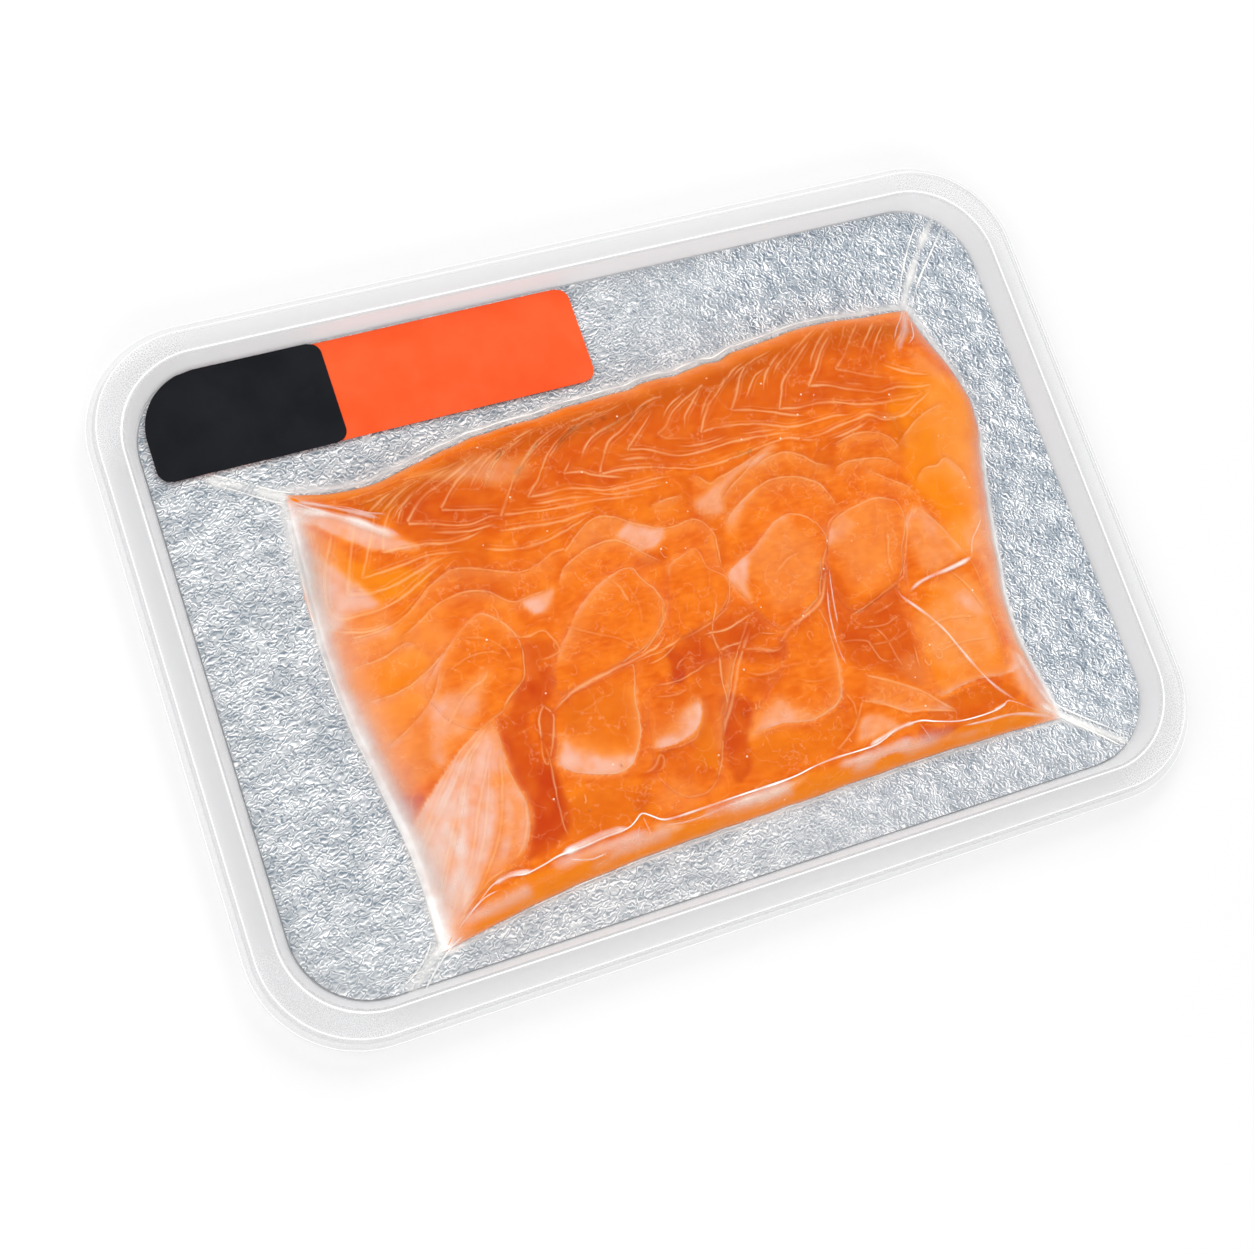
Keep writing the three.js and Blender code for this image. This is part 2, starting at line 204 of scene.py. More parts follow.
def grid_border(rows, columns):
    """The numbers of the points round a grid's border, anticlockwise from its first point."""
    i = np.arange(rows * columns).reshape(rows, columns)
    return np.concatenate([i[0], i[1:, -1], i[-1, -2::-1], i[-2:0:-1, 0]])


def band_quads(low, high):
    """The faces between two closed rings, each given as the numbers of its points."""
    return np.stack([low, np.roll(low, -1), np.roll(high, -1), high], -1)


def block(top, rows, columns, level):
    """A closed block: a grid as its top, an upright wall round it and one flat face at level."""
    border = grid_border(rows, columns)
    ring = np.arange(len(border)) + len(top)
    under = top[border] * (1, 1, 0) + (0, 0, level)
    faces = [grid_quads(rows, columns), band_quads(ring, border), [ring[::-1]]]
    return np.vstack([top, under]), faces


def ring_body(upper, lower, hubs):
    """A closed body between an upper and a lower stack of rings. Both run from the rim inwards, and
    each closes on its own hub."""
    count = len(upper[0])
    points = np.vstack([*upper, *lower, hubs])
    start, hub = len(upper) * count, len(points) - 2
    i = np.arange(count)
    j = np.roll(i, -1)
    faces = [
        grid_quads(len(upper), count, wrap=True),
        grid_quads(len(lower), count, start, True)[:, ::-1],
        band_quads(i + start, i),
        np.stack([i + start - count, j + start - count, np.full(count, hub)], -1),
        np.stack([j + hub - count, i + hub - count, np.full(count, hub + 1)], -1),
    ]
    return points, faces


# %% [markdown]
# Every piece then becomes a Blender object in the same way, and the solid that it stands for is hidden.

# %% Helpers that make strips and pieces
def strips_mesh(strips):
    """The points and faces of several separate strips, each a grid of points along a line."""
    faces, first = [], 0
    for rows, columns, _ in map(np.shape, strips):
        faces.append(grid_quads(rows, columns, first)[:, ::-1])
        first += rows * columns
    return np.vstack([strip.reshape(-1, 3) for strip in strips]), faces


ALL_SMOOTH = 3.1  # radians; a piece with this limit has no edge that is drawn sharp


def make_piece(name, points, faces, node=(), body="root", attributes={}, sharp=0.9):
    """A smooth-shaded mesh object from points in millimetres, riding on the frame."""
    mesh = bpy.data.meshes.new(name)
    polygons = [polygon for part in faces for polygon in np.asarray(part).tolist()]
    mesh.from_pydata((np.asarray(points) * MM).tolist(), [], polygons)
    mesh.update()
    mesh.shade_smooth()
    mesh.set_sharp_from_angle(angle=sharp)
    for key, values in attributes.items():
        layer = mesh.attributes.new(key, "FLOAT", "POINT")
        layer.data.foreach_set("value", np.asarray(values, np.float32).ravel())
    piece = bpy.data.objects.new(name, mesh)
    bpy.context.scene.collection.objects.link(piece)
    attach(piece, body)
    if node:
        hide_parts(*((node,) if isinstance(node, str) else node))
    print(f"{name}: {len(mesh.vertices)} points, {len(mesh.loops) - 2 * len(mesh.polygons)} triangles")
    return piece


# %% [markdown]
# ## The sizes of the pack
# The driving sizes repeat those of the solid model, so each visual piece lies where its solid lies.
# The crease is the line where the flat flange of the tray turns down at its outside.

# %% Sizes in millimetres
CREASE_LENGTH, CREASE_WIDTH, CREASE_RADIUS = 250, 177.3, 25.5
RADIUS_RATE, RADIUS_PER_LEAN = 0.63, 1.7  # how the corner radius shrinks inwards and down the wall
FLOOR, BOARD_TOP = 0.8, 2.0
WALL_LEAN_X, WALL_LEAN_Y = 2.7, 1.9

FISH_CORNERS = np.array([(-81.6, -73.9), (90.8, -65.8), (91.1, 51.8), (-85, 43.3)])
SIDE_BULGES = [
    (-4.16, -0.53, -0.56),
    (2.33, -5.22, 0.15, 0.07, -0.36, 0.44),
    (1.09, 1.92, -0.24, 1.49, -0.65, 0.39, -0.48),
    (2.37, 1.56, -0.59),
]
FISH_HEIGHT, BELLY_HEIGHT, BELLY_EDGE_Y, BELLY_SLOPE = 9, 6.6, 15, 14
SHOULDER_WIDTH, SHOULDER_POWER = 7, 1.6
CORNER_REACH, CORNER_HEIGHT_SHARE, FISH_EDGE = 22, 0.45, 0.5


def rim_ring(half_x, half_y, radius, z, arc=24, straight=70):
    """A rounded rectangle at height z, anticlockwise. It starts in the middle of the lower left
    corner's arc, so every side has the same stations as a side of the fish."""
    centres = np.array([(-1, -1), (1, -1), (1, 1), (-1, 1)]) * (half_x - radius, half_y - radius)
    eighth = math.radians(45)
    share = np.linspace(0, 1, straight + 1)[:, None]

    def outwards(angle):
        return radius * np.column_stack([np.cos(angle), np.sin(angle)])

    ring = []
    for side in range(4):
        facing = math.radians(270 + 90 * side)
        start, stop = centres[side], centres[(side + 1) % 4]
        before = facing - eighth * np.linspace(1, 0, arc, endpoint=False)
        after = facing + eighth * np.arange(1, arc) / arc
        straight_part = mix(start, stop, share) + outwards(facing)
        ring += [start + outwards(before), straight_part, stop + outwards(after)]
    ring = np.vstack(ring)
    return np.column_stack([ring, np.full(len(ring), z)])


def tray_ring(out, lean, z, **stations):
    """The tray's outline, moved out from the crease, with the recess wall's lean."""
    radius = CREASE_RADIUS + (out if out > 0 else out * RADIUS_RATE) - lean * RADIUS_PER_LEAN
    half_x = CREASE_LENGTH / 2 + out - lean * WALL_LEAN_X
    half_y = CREASE_WIDTH / 2 + out - lean * WALL_LEAN_Y
    return rim_ring(half_x, half_y, radius, z, **stations)


print("fish corners:", FISH_CORNERS.tolist())

# %% [markdown]
# ## The shape of the fish
# The fish is a soft block whose four corners are drawn out to points by the film. Its outline is a
# straight line between two corners plus a few sine waves for each side, and a little raggedness
# where the knife went. Its height is a rounded shoulder that rises from the outline, and the half
# with the loose slices is a little lower.

# %% Outline and height of the fish
SIDE_RAGGED = (0.15, 0.2, 0.5, 0.15)  # size of the raggedness on each side
RAGGED_SCALE = 4.4
SWELLS = ((0.14, 11, 1), (0.08, 5, 2))  # height of the soft swells, distance between them, seed
SWELL_SINK = 0.15


def outline_point(side, share):
    """The line between two corners, moved outwards by the sum of its sine waves and by noise that
    fades out at the corners."""
    a, b = FISH_CORNERS[side], FISH_CORNERS[(side + 1) % 4]
    length = np.hypot(*(b - a))
    bulge = sum(h * np.sin((k + 1) * np.pi * share) for k, h in enumerate(SIDE_BULGES[side]))
    ragged = SIDE_RAGGED[side] * value_noise(share * length, 40 * side, RAGGED_SCALE, 61)
    bulge = bulge + ragged * np.sin(np.pi * share) ** 0.5
    outwards = np.array([b[1] - a[1], a[0] - b[0]]) / length
    return mix(a, b, share[:, None]) + bulge[:, None] * outwards


SIDES = [outline_point(side, np.linspace(0, 1, 91)) for side in range(4)]
OUTLINE = np.vstack([side[:-1] for side in SIDES])


def rise(x, y):
    """The fish's height as a share of its full height: (1 - s^p)^(1/p), where s falls from 1 at the
    outline to 0 at the shoulder's width, and lower near a corner."""
    inset, _ = distance_to(x, y, closed(OUTLINE))
    steep = 1 - np.clip(inset / SHOULDER_WIDTH, 0, 1)
    shoulder = (1 - steep**SHOULDER_POWER) ** (1 / SHOULDER_POWER)
    corner = np.min([np.hypot(x - cx, y - cy) for cx, cy in FISH_CORNERS], 0)
    return shoulder * mix(CORNER_HEIGHT_SHARE, 1, smooth(corner / CORNER_REACH))


def fish_top(x, y):
    """Height of the bare fish above the table, with low swells a few millimetres across."""
    belly = smooth((BELLY_EDGE_Y - y) / BELLY_SLOPE + 0.5)
    swell = sum(height * value_noise(x, y, scale, seed) for height, scale, seed in SWELLS)
    height = BOARD_TOP + rise(x, y) * (mix(FISH_HEIGHT, BELLY_HEIGHT, belly) + swell - SWELL_SINK)
    return np.maximum(height, BOARD_TOP + FISH_EDGE)


print("outline:", len(OUTLINE), "points")

# %% [markdown]
# The slices lie on each other, and the film lies on all of them. To let each piece rest on what is
# under it, the script keeps a relief map: a fine square grid with the height of whatever is on top
# so far. A new piece reads the map for its underside and then writes its own top back into it.

# %% The relief map
MAP_STEP = 0.5
MAP_X = np.arange(-96, 108, MAP_STEP)
MAP_Y = np.arange(-82, 60, MAP_STEP)
map_x, map_y = np.meshgrid(MAP_X, MAP_Y)
on_fish = inside(map_x, map_y, OUTLINE)
relief = np.where(on_fish, fish_top(map_x, map_y), BOARD_TOP)


def read_grid(field, places_x, places_y, x, y):
    """The field's value between its grid points, from the four nearest ones in proportion."""
    step = places_x[1] - places_x[0]
    u = np.clip((np.asarray(x) - places_x[0]) / step, 0, len(places_x) - 1.001)
    v = np.clip((np.asarray(y) - places_y[0]) / step, 0, len(places_y) - 1.001)
    i, j = u.astype(int), v.astype(int)
    s, t = u - i, v - j
    return mix(mix(field[j, i], field[j, i + 1], s), mix(field[j + 1, i], field[j + 1, i + 1], s), t)


def read_map(field, x, y):
    """The value of a field on the relief map's grid."""
    return read_grid(field, MAP_X, MAP_Y, x, y)


def blur(field, radius, rounds=2):
    """The mean over a square of the given half width in millimetres, repeated to round it off."""
    n = max(1, int(radius / MAP_STEP))
    width = 2 * n + 1
    for _ in range(rounds):
        for axis in (0, 1):
            pad = [(n + 1, n) if a == axis else (0, 0) for a in (0, 1)]
            total = np.cumsum(np.pad(field, pad, "edge"), axis)
            last = total.shape[axis]
            before = np.take(total, range(last - width), axis)
            field = (np.take(total, range(width, last), axis) - before) / width
    return field


print("fish from", relief.min(), "to", round(float(relief.max()), 2), "mm high")

# %% [markdown]
# ## Colour amounts
# Cold-smoked salmon isn't one orange. It is paler and pinker where a slice is thin or the film
# doesn't quite touch, deep red between slices, and amber where light comes through. Each such place
# is a closed outline with a soft border, painted into a fine map, one map for each kind of colour.
# An entry gives the amount, the width of the soft border in millimetres, and the outline. The pale
# fields come first: thin ends of slices, the striped slice and the places that the film bridges.

# %% Pale fields: amount, width of the border, outline
PALE = [
    (0.35, 2.0, (-81, -44.5, -75, -38.5, -66, -32, -56, -25.5, -54.6, -30, -55, -37, -53.4, -46, -55, -54,
     -62, -60.6, -70, -63.6, -78, -70, -81, -72, -82, -60, -82, -48)),
    (0.5, 3.5, (-80, -45, -72, -38, -62, -31, -57, -29, -59, -38, -63, -50, -70, -59, -79, -68, -81, -58)),
    (0.45, 2.6, (-70, -24, -66, -17, -60, -16, -52, -13, -53, -16, -57, -22, -62, -27, -67, -29, -70, -33,
     -72, -29)),
    (0.22, 2.2, (-85, -12.5, -76, -13, -66, -9, -61, -6.5, -64, -12, -67, -17, -74, -20.5, -80, -24,
     -85, -26)),
    (0.25, 2.5, (-83, -25, -76, -22, -68, -17, -64, -20, -70, -24, -70, -32, -76, -35, -83, -36)),
    (0.6, 1.3, (-38.4, 0.6, -34, 1, -29.6, 1.8, -31, -1, -34, -3.6, -37, -3)),
    (0.6, 1.4, (-11, 10, -6.4, 13, -1, 10.3, 2.4, 9.6, 0.6, 6.2, -3, 5, -6, 6, -8, 8.4)),
    (0.5, 1.8, (12, 13, 17, 15.5, 22, 17.4, 28, 19.4, 34, 21.4, 38, 22.6, 37, 21, 32, 20, 26, 18, 21, 13.6,
     19, 9, 15, 9)),
    (0.3, 1.6, (17.4, 5, 20, 8.5, 26, 12, 30, 13.4, 24, 8.6, 20, 3.6)),
    (0.55, 2.0, (15, -6.8, 18, -4.6, 20.6, -3.6, 20, -6, 18, -10, 17.6, -14, 16.4, -13.6, 15, -10)),
    (0.42, 2.4, (5.4, -47.4, 8.2, -44.4, 12.3, -41.2, 16.1, -40.1, 19.7, -42.8, 23, -46.4, 19.1, -47.4,
     13.3, -47)),
    (0.4, 2.2, (-18.3, -43.1, -14.8, -41, -11.5, -38.1, -7.9, -35.9, -4.5, -34.2, -3.4, -37.3, -4.8, -41,
     -9.3, -43.6, -13.7, -43.8)),
    (0.3, 3.0, (-42, -39.4, -40.2, -35.4, -37.6, -36, -34, -39, -30, -42.6, -26, -44, -28, -46.4,
     -33.1, -45.6, -38.7, -43.2)),
    (0.3, 2.4, (65, -5, 70, -2.5, 73.5, -8, 74, -14, 75.4, -19.4, 66, -19.6, 64.6, -12)),
    (0.3, 2.2, (66, -24, 75, -23, 79, -28, 79, -36, 74, -33, 69, -27)),
    (0.5, 1.4, (33, -55, 36, -51, 40, -52, 44, -54.5, 44, -56.3, 38, -57, 33, -56.6)),
    (0.5, 1.8, (81, -45, 84, -50, 86, -58, 89, -63, 86, -64, 80.4, -58, 79, -52)),
    (0.65, 0.9, (-85, 37, -80, 37, -76, 33.2, -70, 29.5, -66, 26, -62, 22.7, -58.4, 20, -62, 19.6, -67, 21,
     -72, 23.6, -77, 27, -81, 31.6, -85, 35.6)),
    (0.35, 2.6, (-57, 40, -48, 37, -38, 39, -30, 36, -26, 33, -33, 30, -42, 33, -50, 36)),
    (0.55, 1.5, (-90, 30, -86.6, 29.4, -83, 25, -79, 19, -74, 13, -72, 9.6, -80, 8, -86, 6, -90, 10)),
    (0.25, 1.8, (-85, 5, -75, 4.4, -70, 2, -70, -1.6, -78, -3.4, -86, -3.6)),
    (0.2, 2.4, (-24, 9, -18, 13.6, -14, 15.6, -9, 14, -10, 10.4, -18, 9.4)),
    (0.15, 2.4, (-22, -56, -17, -52, -12, -55, -13, -59.6, -20, -60)),
    (0.5, 1.0, (-25, -61.2, -21, -61.4, -17, -63, -20, -64, -24, -63)),
    (0.4, 1.0, (3, -62.4, 9, -61.6, 16, -60.8, 15, -62, 8, -63, 4, -64)),
    (0.25, 2.0, (84, 38, 90, 32, 91, 26, 86, 30, 83, 33)),
    (0.25, 2.4, (44, -2, 50, 1, 52, -3, 46, -6, 43, -6)),
    (0.2, 3.0, (50, -40, 56, -41, 56, -48, 52, -46)),
    (0.2, 4.0, (48, -2, 62, 0, 63, -8, 57, -18, 48, -20, 44, -12)),
    (0.2, 4.0, (24, -4, 36, 0, 40, -8, 34, -17, 24, -18)),
    (0.25, 3.0, (-80, 20, -76, 12, -70, 8, -74, 2, -84, 6, -86, 16)),
    (0.35, 2.6, (-40, -34, -38, -38, -32, -41, -27, -43, -30, -46, -38, -44, -43, -40)),
    (0.2, 3.0, (-70, -2, -62, 2, -58, -3, -66, -8, -76, -8)),
    (0.2, 4.0, (82, 24, 88, 28, 92, 14, 88, -4, 82, -2, 82, 12)),
    (0.35, 3.0, (81, -12, 90, -6, 92, -20, 90, -36, 92, -50, 84, -48, 81, -34, 81, -20)),
    (0.2, 2.5, (76, -10, 82, -8, 82, -18, 78, -18)),
    (0.35, 3.0, (60, -30, 74, -28, 78, -38, 76, -46, 62, -46, 58, -38)),
]
print(len(PALE), "pale fields")

# %% [markdown]
# Between and below the slices one looks into the depth of the flesh, where little light comes back,
# so it is a deep red orange there.

# %% Deep fields: amount, width of the border, outline
DEEP = [
    (0.6, 1.5, (-54, -26, -50, -24.4, -47, -20.4, -45, -18.6, -42, -19, -38, -16, -36.4, -18, -38, -22,
     -40.6, -25.4, -45, -26, -47, -31, -46.6, -38, -44.6, -41, -44, -50, -46, -57, -50, -59, -58, -60,
     -55, -56, -53, -48, -54, -40, -54.5, -30)),
    (0.75, 2.0, (-49, -40, -45, -40, -44.6, -46, -47, -56, -52, -58, -55, -57, -52, -50, -50, -45)),
    (0.5, 0.6, (-42, -25.6, -40.4, -28, -41.2, -33, -44, -39, -46, -38.4, -45.2, -33, -44.4, -28)),
    (0.5, 1.5, (-42, -9.4, -38, -9.2, -34.6, -12, -34.6, -14, -39, -16, -37, -21, -40, -24, -44, -22,
     -43, -16)),
    (0.75, 1.4, (-8, -22, -5, -21.4, -4, -26, -6, -30, -9, -29, -8, -25)),
    (0.4, 2.0, (-3, -19, 8, -17.4, 15, -15, 20, -20, 17, -23, 10, -26, 4, -33, -2, -30, -4, -25)),
    (0.7, 1.5, (1.4, -36, 5, -36, 8, -38, 9, -42, 5, -47, 4, -53, 1, -57, -2, -57, -2, -50, 0, -43)),
    (0.55, 1.8, (10, -26.6, 14, -27.4, 20, -28.4, 22, -27, 22, -30, 19, -31, 12, -30)),
    (0.45, 1.8, (10, -33.4, 18, -34, 17, -37, 13, -38, 9, -37)),
    (0.5, 2.0, (38, -11, 42, -14, 45, -23, 57, -21, 57, -30, 56, -40, 54.6, -48, 48, -44, 42, -40, 38, -38,
     37, -28, 36.6, -20)),
    (0.7, 1.0, (-81, -44, -84, -41, -82, -37, -78, -37.4, -76, -39.4)),
    (0.3, 1.4, (-81, -37, -76, -34, -70, -31, -69, -27, -74, -25.6, -78, -30, -82, -34)),
    (0.4, 1.0, (57, -53, 66, -52.6, 76, -53.6, 80, -57, 76, -58.2, 66, -59.4, 58, -58.4, 52, -56)),
    (0.4, 1.0, (-8, 2.4, -4, 0.4, 0, 1, 1, 4, -3, 4)),
    (0.5, 1.0, (50, -57, 54, -59, 60, -61, 52, -62, 49, -60)),
    (0.35, 1.4, (46, 14, 52, 13.6, 54, 18, 66, 22, 71, 17, 72, 12, 74, 16, 72, 24, 60, 22.6, 50, 19)),
    (0.35, 3.0, (52, 34, 66, 35, 76, 31, 80, 27, 66, 26, 54, 29)),
    (0.42, 4.0, (-62, 30, -50, 36, -30, 42, 0, 43, 30, 45, 60, 48, 78, 47, 78, 38, 60, 32, 45, 28, 30, 25,
     0, 24, -20, 24, -40, 20, -55, 18, -62, 22)),
    (0.35, 3.0, (-60, 32, -50, 31, -40, 24, -46, 20, -58, 22, -62, 26)),
    (0.3, 1.6, (-52, 18, -46, 18, -42, 16, -44, 10, -38, 7, -43, 2, -47, 4, -52, 7)),
    (0.3, 1.6, (-12, 25.6, -6, 25, -2, 23.4, -6, 22, -12, 22.4)),
    (0.3, 1.6, (9.8, 20.6, 12.4, 19.6, 11, 16, 9.8, 13, 14, 12, 17, 9, 16.4, 3, 14.6, -3, 15, 5, 13, 9)),
    (0.35, 1.6, (-26, -58, -22, -52, -16, -47, -18, -45, -24, -50, -28, -55)),
    (0.25, 2.0, (36, -27, 44, -30, 46, -38, 40, -38, 36, -34)),
    (0.25, 4.0, (-38, -27, -22, -25, -20, -34, -26, -40, -36, -36)),
    (0.25, 4.0, (-16, -33, -4, -30, 4, -34, 0, -44, -6, -54, -16, -54, -19, -44)),
    (0.4, 3.0, (-9, -22, 4, -19, 18, -20, 20, -25, 8, -27, -4, -26)),
    (0.25, 4.0, (4, -50, 20, -52, 34, -48, 33, -56, 16, -58, 3, -57)),
    (0.3, 2.5, (-44, -50, -30, -50, -22, -56, -40, -60, -46, -58)),
]
print(len(DEEP), "deep fields")

# %% [markdown]
# Where the flesh is clear rather than cloudy, it glows in a yellower orange, like amber.

# %% Amber fields: amount, width of the border, outline
AMBER = [
    (0.85, 1.4, (-81, 29, -85, 33.6, -83, 25, -78, 16, -73, 11, -66, 9, -58, 12.6, -65, 16.4, -71, 17,
     -76, 22)),
    (0.65, 1.5, (-85, -5, -78, -4.4, -70, -3.4, -66, -6, -66, -9.6, -72, -12, -80, -12.6, -85, -11.4)),
    (0.6, 1.2, (-83, -15, -78, -15, -72, -14, -69, -16, -74, -20, -80, -24, -82, -22)),
    (0.75, 3.0, (72, 26, 80, 30, 94, 28, 95, 18, 93, 8, 89, -2, 85, -12, 79, -18.4, 75.6, -15, 75, -5,
     71, 3, 72, 12, 70, 20)),
    (0.6, 1.0, (-78, -71, -70, -66, -60, -64, -40, -62, -20, -62, 0, -61.5, 20, -60.5, 40, -60, 60, -61,
     80, -62, 88, -64.6, 70, -64.6, 40, -64.3, 10, -65.3, -20, -66, -50, -68, -70, -70.4)),
    (0.45, 2.0, (60, -30, 66, -24, 78, -26, 79, -40, 78, -48, 66, -49, 58, -49, 58, -40)),
    (0.4, 2.5, (-44, -48, -34, -48, -24, -50, -24, -58, -34, -59, -44, -59)),
    (0.6, 1.5, (-7, -36, -4, -38, -3, -44, -5, -52, -9, -50, -9, -44, -8, -40)),
    (0.4, 2.5, (5, -48, 14, -48, 24, -49.5, 30, -48, 28, -55, 20, -57, 8, -57, 4, -54)),
    (0.3, 2.5, (-38, -28, -20, -26, -19, -34, -24, -42, -30, -42, -36, -36)),
    (0.5, 1.5, (56, -51.8, 66, -51.8, 74, -53, 79, -56, 72, -57, 62, -56)),
    (0.4, 4.0, (-40, 42, -10, 44, 30, 48, 80, 50, 78, 45, 40, 40, 10, 38, -20, 37)),
    (0.35, 2.5, (-80, 2, -72, 3, -64, 8, -66, 2, -72, -1)),
]
print(len(AMBER), "amber fields")

# %% [markdown]
# Where one slice lies over another, its thin edge is a pale line with a paler band on the slice's
# own side and a slightly deeper one beyond it. The edges are kept as curves, and a number says on
# which side the band lies: 1 is the left hand of someone who walks along the curve, -1 the right.

# %% Edges of slices: amount, how far the colour reaches, its side, and the curve
PALE_EDGES = [
    (0.6, 4.2, 1, (-45, -39, -40, -43.2, -35, -45.2, -30, -46.7, -26, -46, -22.6, -43)),
    (0.5, 1.6, 1, (-27, -46, -23, -43, -20.4, -38, -19, -32, -17.4, -26)),
    (0.55, 1.8, 1, (8, -47, 15, -46.7, 22, -48.3, 28, -47.4, 32, -45, 34.4, -39, 35.2, -31)),
    (0.55, 3.2, -1, (15, -12, 14.4, -6.8, 18, -4.3, 23, -2, 28, 1.5, 32, 3.8, 37, 4.2)),
    (0.5, 2.6, -1, (-36, -18, -34, -14, -30, -9.5, -26, -5, -21, -1.5, -16, 1, -12, 2)),
    (0.3, 1.4, 1, (-14, -19.6, -9, -17, -6, -13.6, -4.3, -10, -5, -5, -8, 0)),
    (0.6, 3.6, 1, (-20, -43.6, -14, -43.9, -9, -42.8, -6, -41, -4.4, -38, -4, -34.6)),
    (0.35, 1.8, 1, (-3.4, -50.4, -0.4, -43.6, 3.2, -37.6, 6, -32, 9.4, -26.2)),
    (0.4, 4.0, -1, (64, -9, 66, -5, 70, -2.5, 73.5, -7, 76, -12, 79, -19)),
    (0.6, 2.4, 1, (55, -49.6, 58, -51.8, 64, -51, 70, -50.5, 77, -51.4, 84, -50)),
    (0.5, 2.6, 1, (37, -47, 43, -50, 48, -53.3, 52, -54, 57, -55.5, 60.5, -56.6)),
    (0.4, 2.2, -1, (39.5, -40.5, 46, -44, 54, -49.5, 57.4, -53, 60.5, -56.6)),
    (0.6, 6.0, -1, (-83, -46, -79, -42.4, -75, -38.5, -68, -32.5, -62, -28.4, -56, -25.5)),
    (0.4, 2.6, -1, (-55.6, -26, -54.6, -30, -55, -37, -54, -44, -53.4, -48, -55.4, -55, -60, -60)),
    (0.35, 2.0, -1, (-68, -13, -60, -5.4, -54, -1, -49, 0.6, -44.5, -3, -42, -8.5)),
    (0.3, 2.2, -1, (42, -8, 43.5, -5, 46, -1, 50, 1, 56, 2.3, 61, 2.5, 65, 0.5)),
    (0.35, 1.6, -1, (-1, -3, 0, 0, 4, 1.2, 8.5, 2.3)),
]
DEEP_EDGES = [
    (0.4, 2.0, -1, (-44.6, -19, -40, -26.4, -36, -24.9, -28, -23.2, -20, -21.3, -12, -19.4)),
    (0.35, 2.0, -1, (-3.4, -19, 4, -17.4, 10, -15, 14, -11)),
    (0.45, 2.4, -1, (20, -25, 24, -24.8, 30, -22.6, 35.4, -19.8)),
    (0.45, 2.6, -1, (-19, -44.4, -12, -44.6, -6, -42, -3.6, -37, -3, -33)),
    (0.4, 2.0, -1, (6, -47.6, 15, -47.2, 22, -49, 29, -47.8, 33, -44.6)),
    (0.3, 1.6, -1, (-44, -43, -36, -46.2, -30, -47.6, -25, -46, -21, -40, -18, -31)),
    (0.4, 1.6, -1, (38, -17, 40, -10.6, 43, -5.6)),
    (0.35, 2.0, -1, (56, -50.6, 58, -52.8, 64, -52, 70, -51.6, 77, -52.6)),
    (0.45, 2.4, 1, (-56, -26, -54, -29, -54.4, -37, -53.4, -44, -52.6, -48)),
    (0.3, 2.0, 1, (-83, -46, -79, -42.4, -75, -38.5, -68, -32.5)),
]
print("edges:", len(PALE_EDGES), "pale,", len(DEEP_EDGES), "deep")

# %% [markdown]
# Seams are edges that are all alike, so a seam is only its curve. Each is drawn with the upper slice
# on the right, where its pale band goes, and the deeper band goes on the left.

# %% Seams between slices
SEAMS = [
    (-84, 3.2, -76, 3, -70, 3.8, -65, 6.3, -60, 10, -55, 12.4, -51, 12.8, -45, 11, -40, 9, -36.5, 8,
     -32, 8.6, -28, 10.3, -24, 10.7),
    (-71, -0.5, -65, 2.2, -61, 4.7, -57, 6.1, -51, 6.9, -46, 5.4, -43, 2.8, -40, 1.2, -34, 1.8, -30, 1.8),
    (-29, 1, -27, 4.6, -24.5, 6.8, -18.5, 9.2, -12.5, 9.9, -9, 8.6, -6, 5.9, -3, 3, 0, 0.5),
    (-24, 10, -19, 14, -14.5, 16, -10, 15.4, -5, 12.5, 0, 10.2, 2.5, 9.5),
    (0.3, 9.6, 5, 9.1, 10, 9.6, 13, 8, 14.6, 4.6, 14.2, 0, 13.4, -6),
    (0, 15.4, 5, 16, 9.3, 15.8, 8.7, 14.4),
    (12, 20, 14.6, 19.8, 17.6, 17, 20, 17.8, 25, 18.9, 31, 20.8, 37, 23),
    (19, 12, 22, 14.4, 27, 17.2, 32, 20.2, 38, 20.8),
    (17.4, 4.6, 20, 7.7, 24, 10.4, 30, 13.2, 35, 14.2, 41, 13.2, 46, 10.4, 47.6, 8, 49, 4, 50.4, 1.2),
    (30, 18, 35, 19.6, 40, 19.9, 44, 17.8, 47, 15.4, 52, 13.5),
    (51, 11, 53, 13, 57, 13.6, 63, 12.9, 67, 11.7, 69.6, 9),
    (53, 18.6, 60, 19.9, 65, 19.2, 69, 17, 71, 14, 70, 11.5),
    (71, 14.6, 76, 18, 81, 20.6, 88, 22),
    (60, 11, 65, 7, 69.6, 3.6, 71.5, 0.4),
    (72, 3, 76, 6.6, 80, 6.6, 83, 7.8, 86, 4, 87, -2),
    (-84, -4, -76, -3.6, -69, -1.6, -66.5, -3.6),
    (-84, -12.6, -78, -13, -72, -12, -66, -9.4, -60, -5.6),
    (-82, -25, -76, -22.4, -69, -18, -65.5, -14, -63.4, -9.6),
]
print(len(SEAMS), "seams")

# %% [markdown]
# The tone maps are finer than the relief map, because the eye sees a colour border more sharply
# than a slope. Noise bends the places that are read, so that no border is a clean curve.

# %% Paint the tone maps
TONE_STEP = 0.25
TONE_X = np.arange(-98, 108, TONE_STEP)
TONE_Y = np.arange(-82, 60, TONE_STEP)
tone_x, tone_y = np.meshgrid(TONE_X, TONE_Y)
BENDS = ((0.55, 4.5), (0.2, 1.4))  # how far noise moves a border, and the distance between its lumps
bent_x, bent_y = tone_x, tone_y
for k, (size, scale) in enumerate(BENDS):
    bent_x = bent_x + size * value_noise(tone_x, tone_y, scale, 3 + k)
    bent_y = bent_y + size * value_noise(tone_x, tone_y, scale, 5 + k)


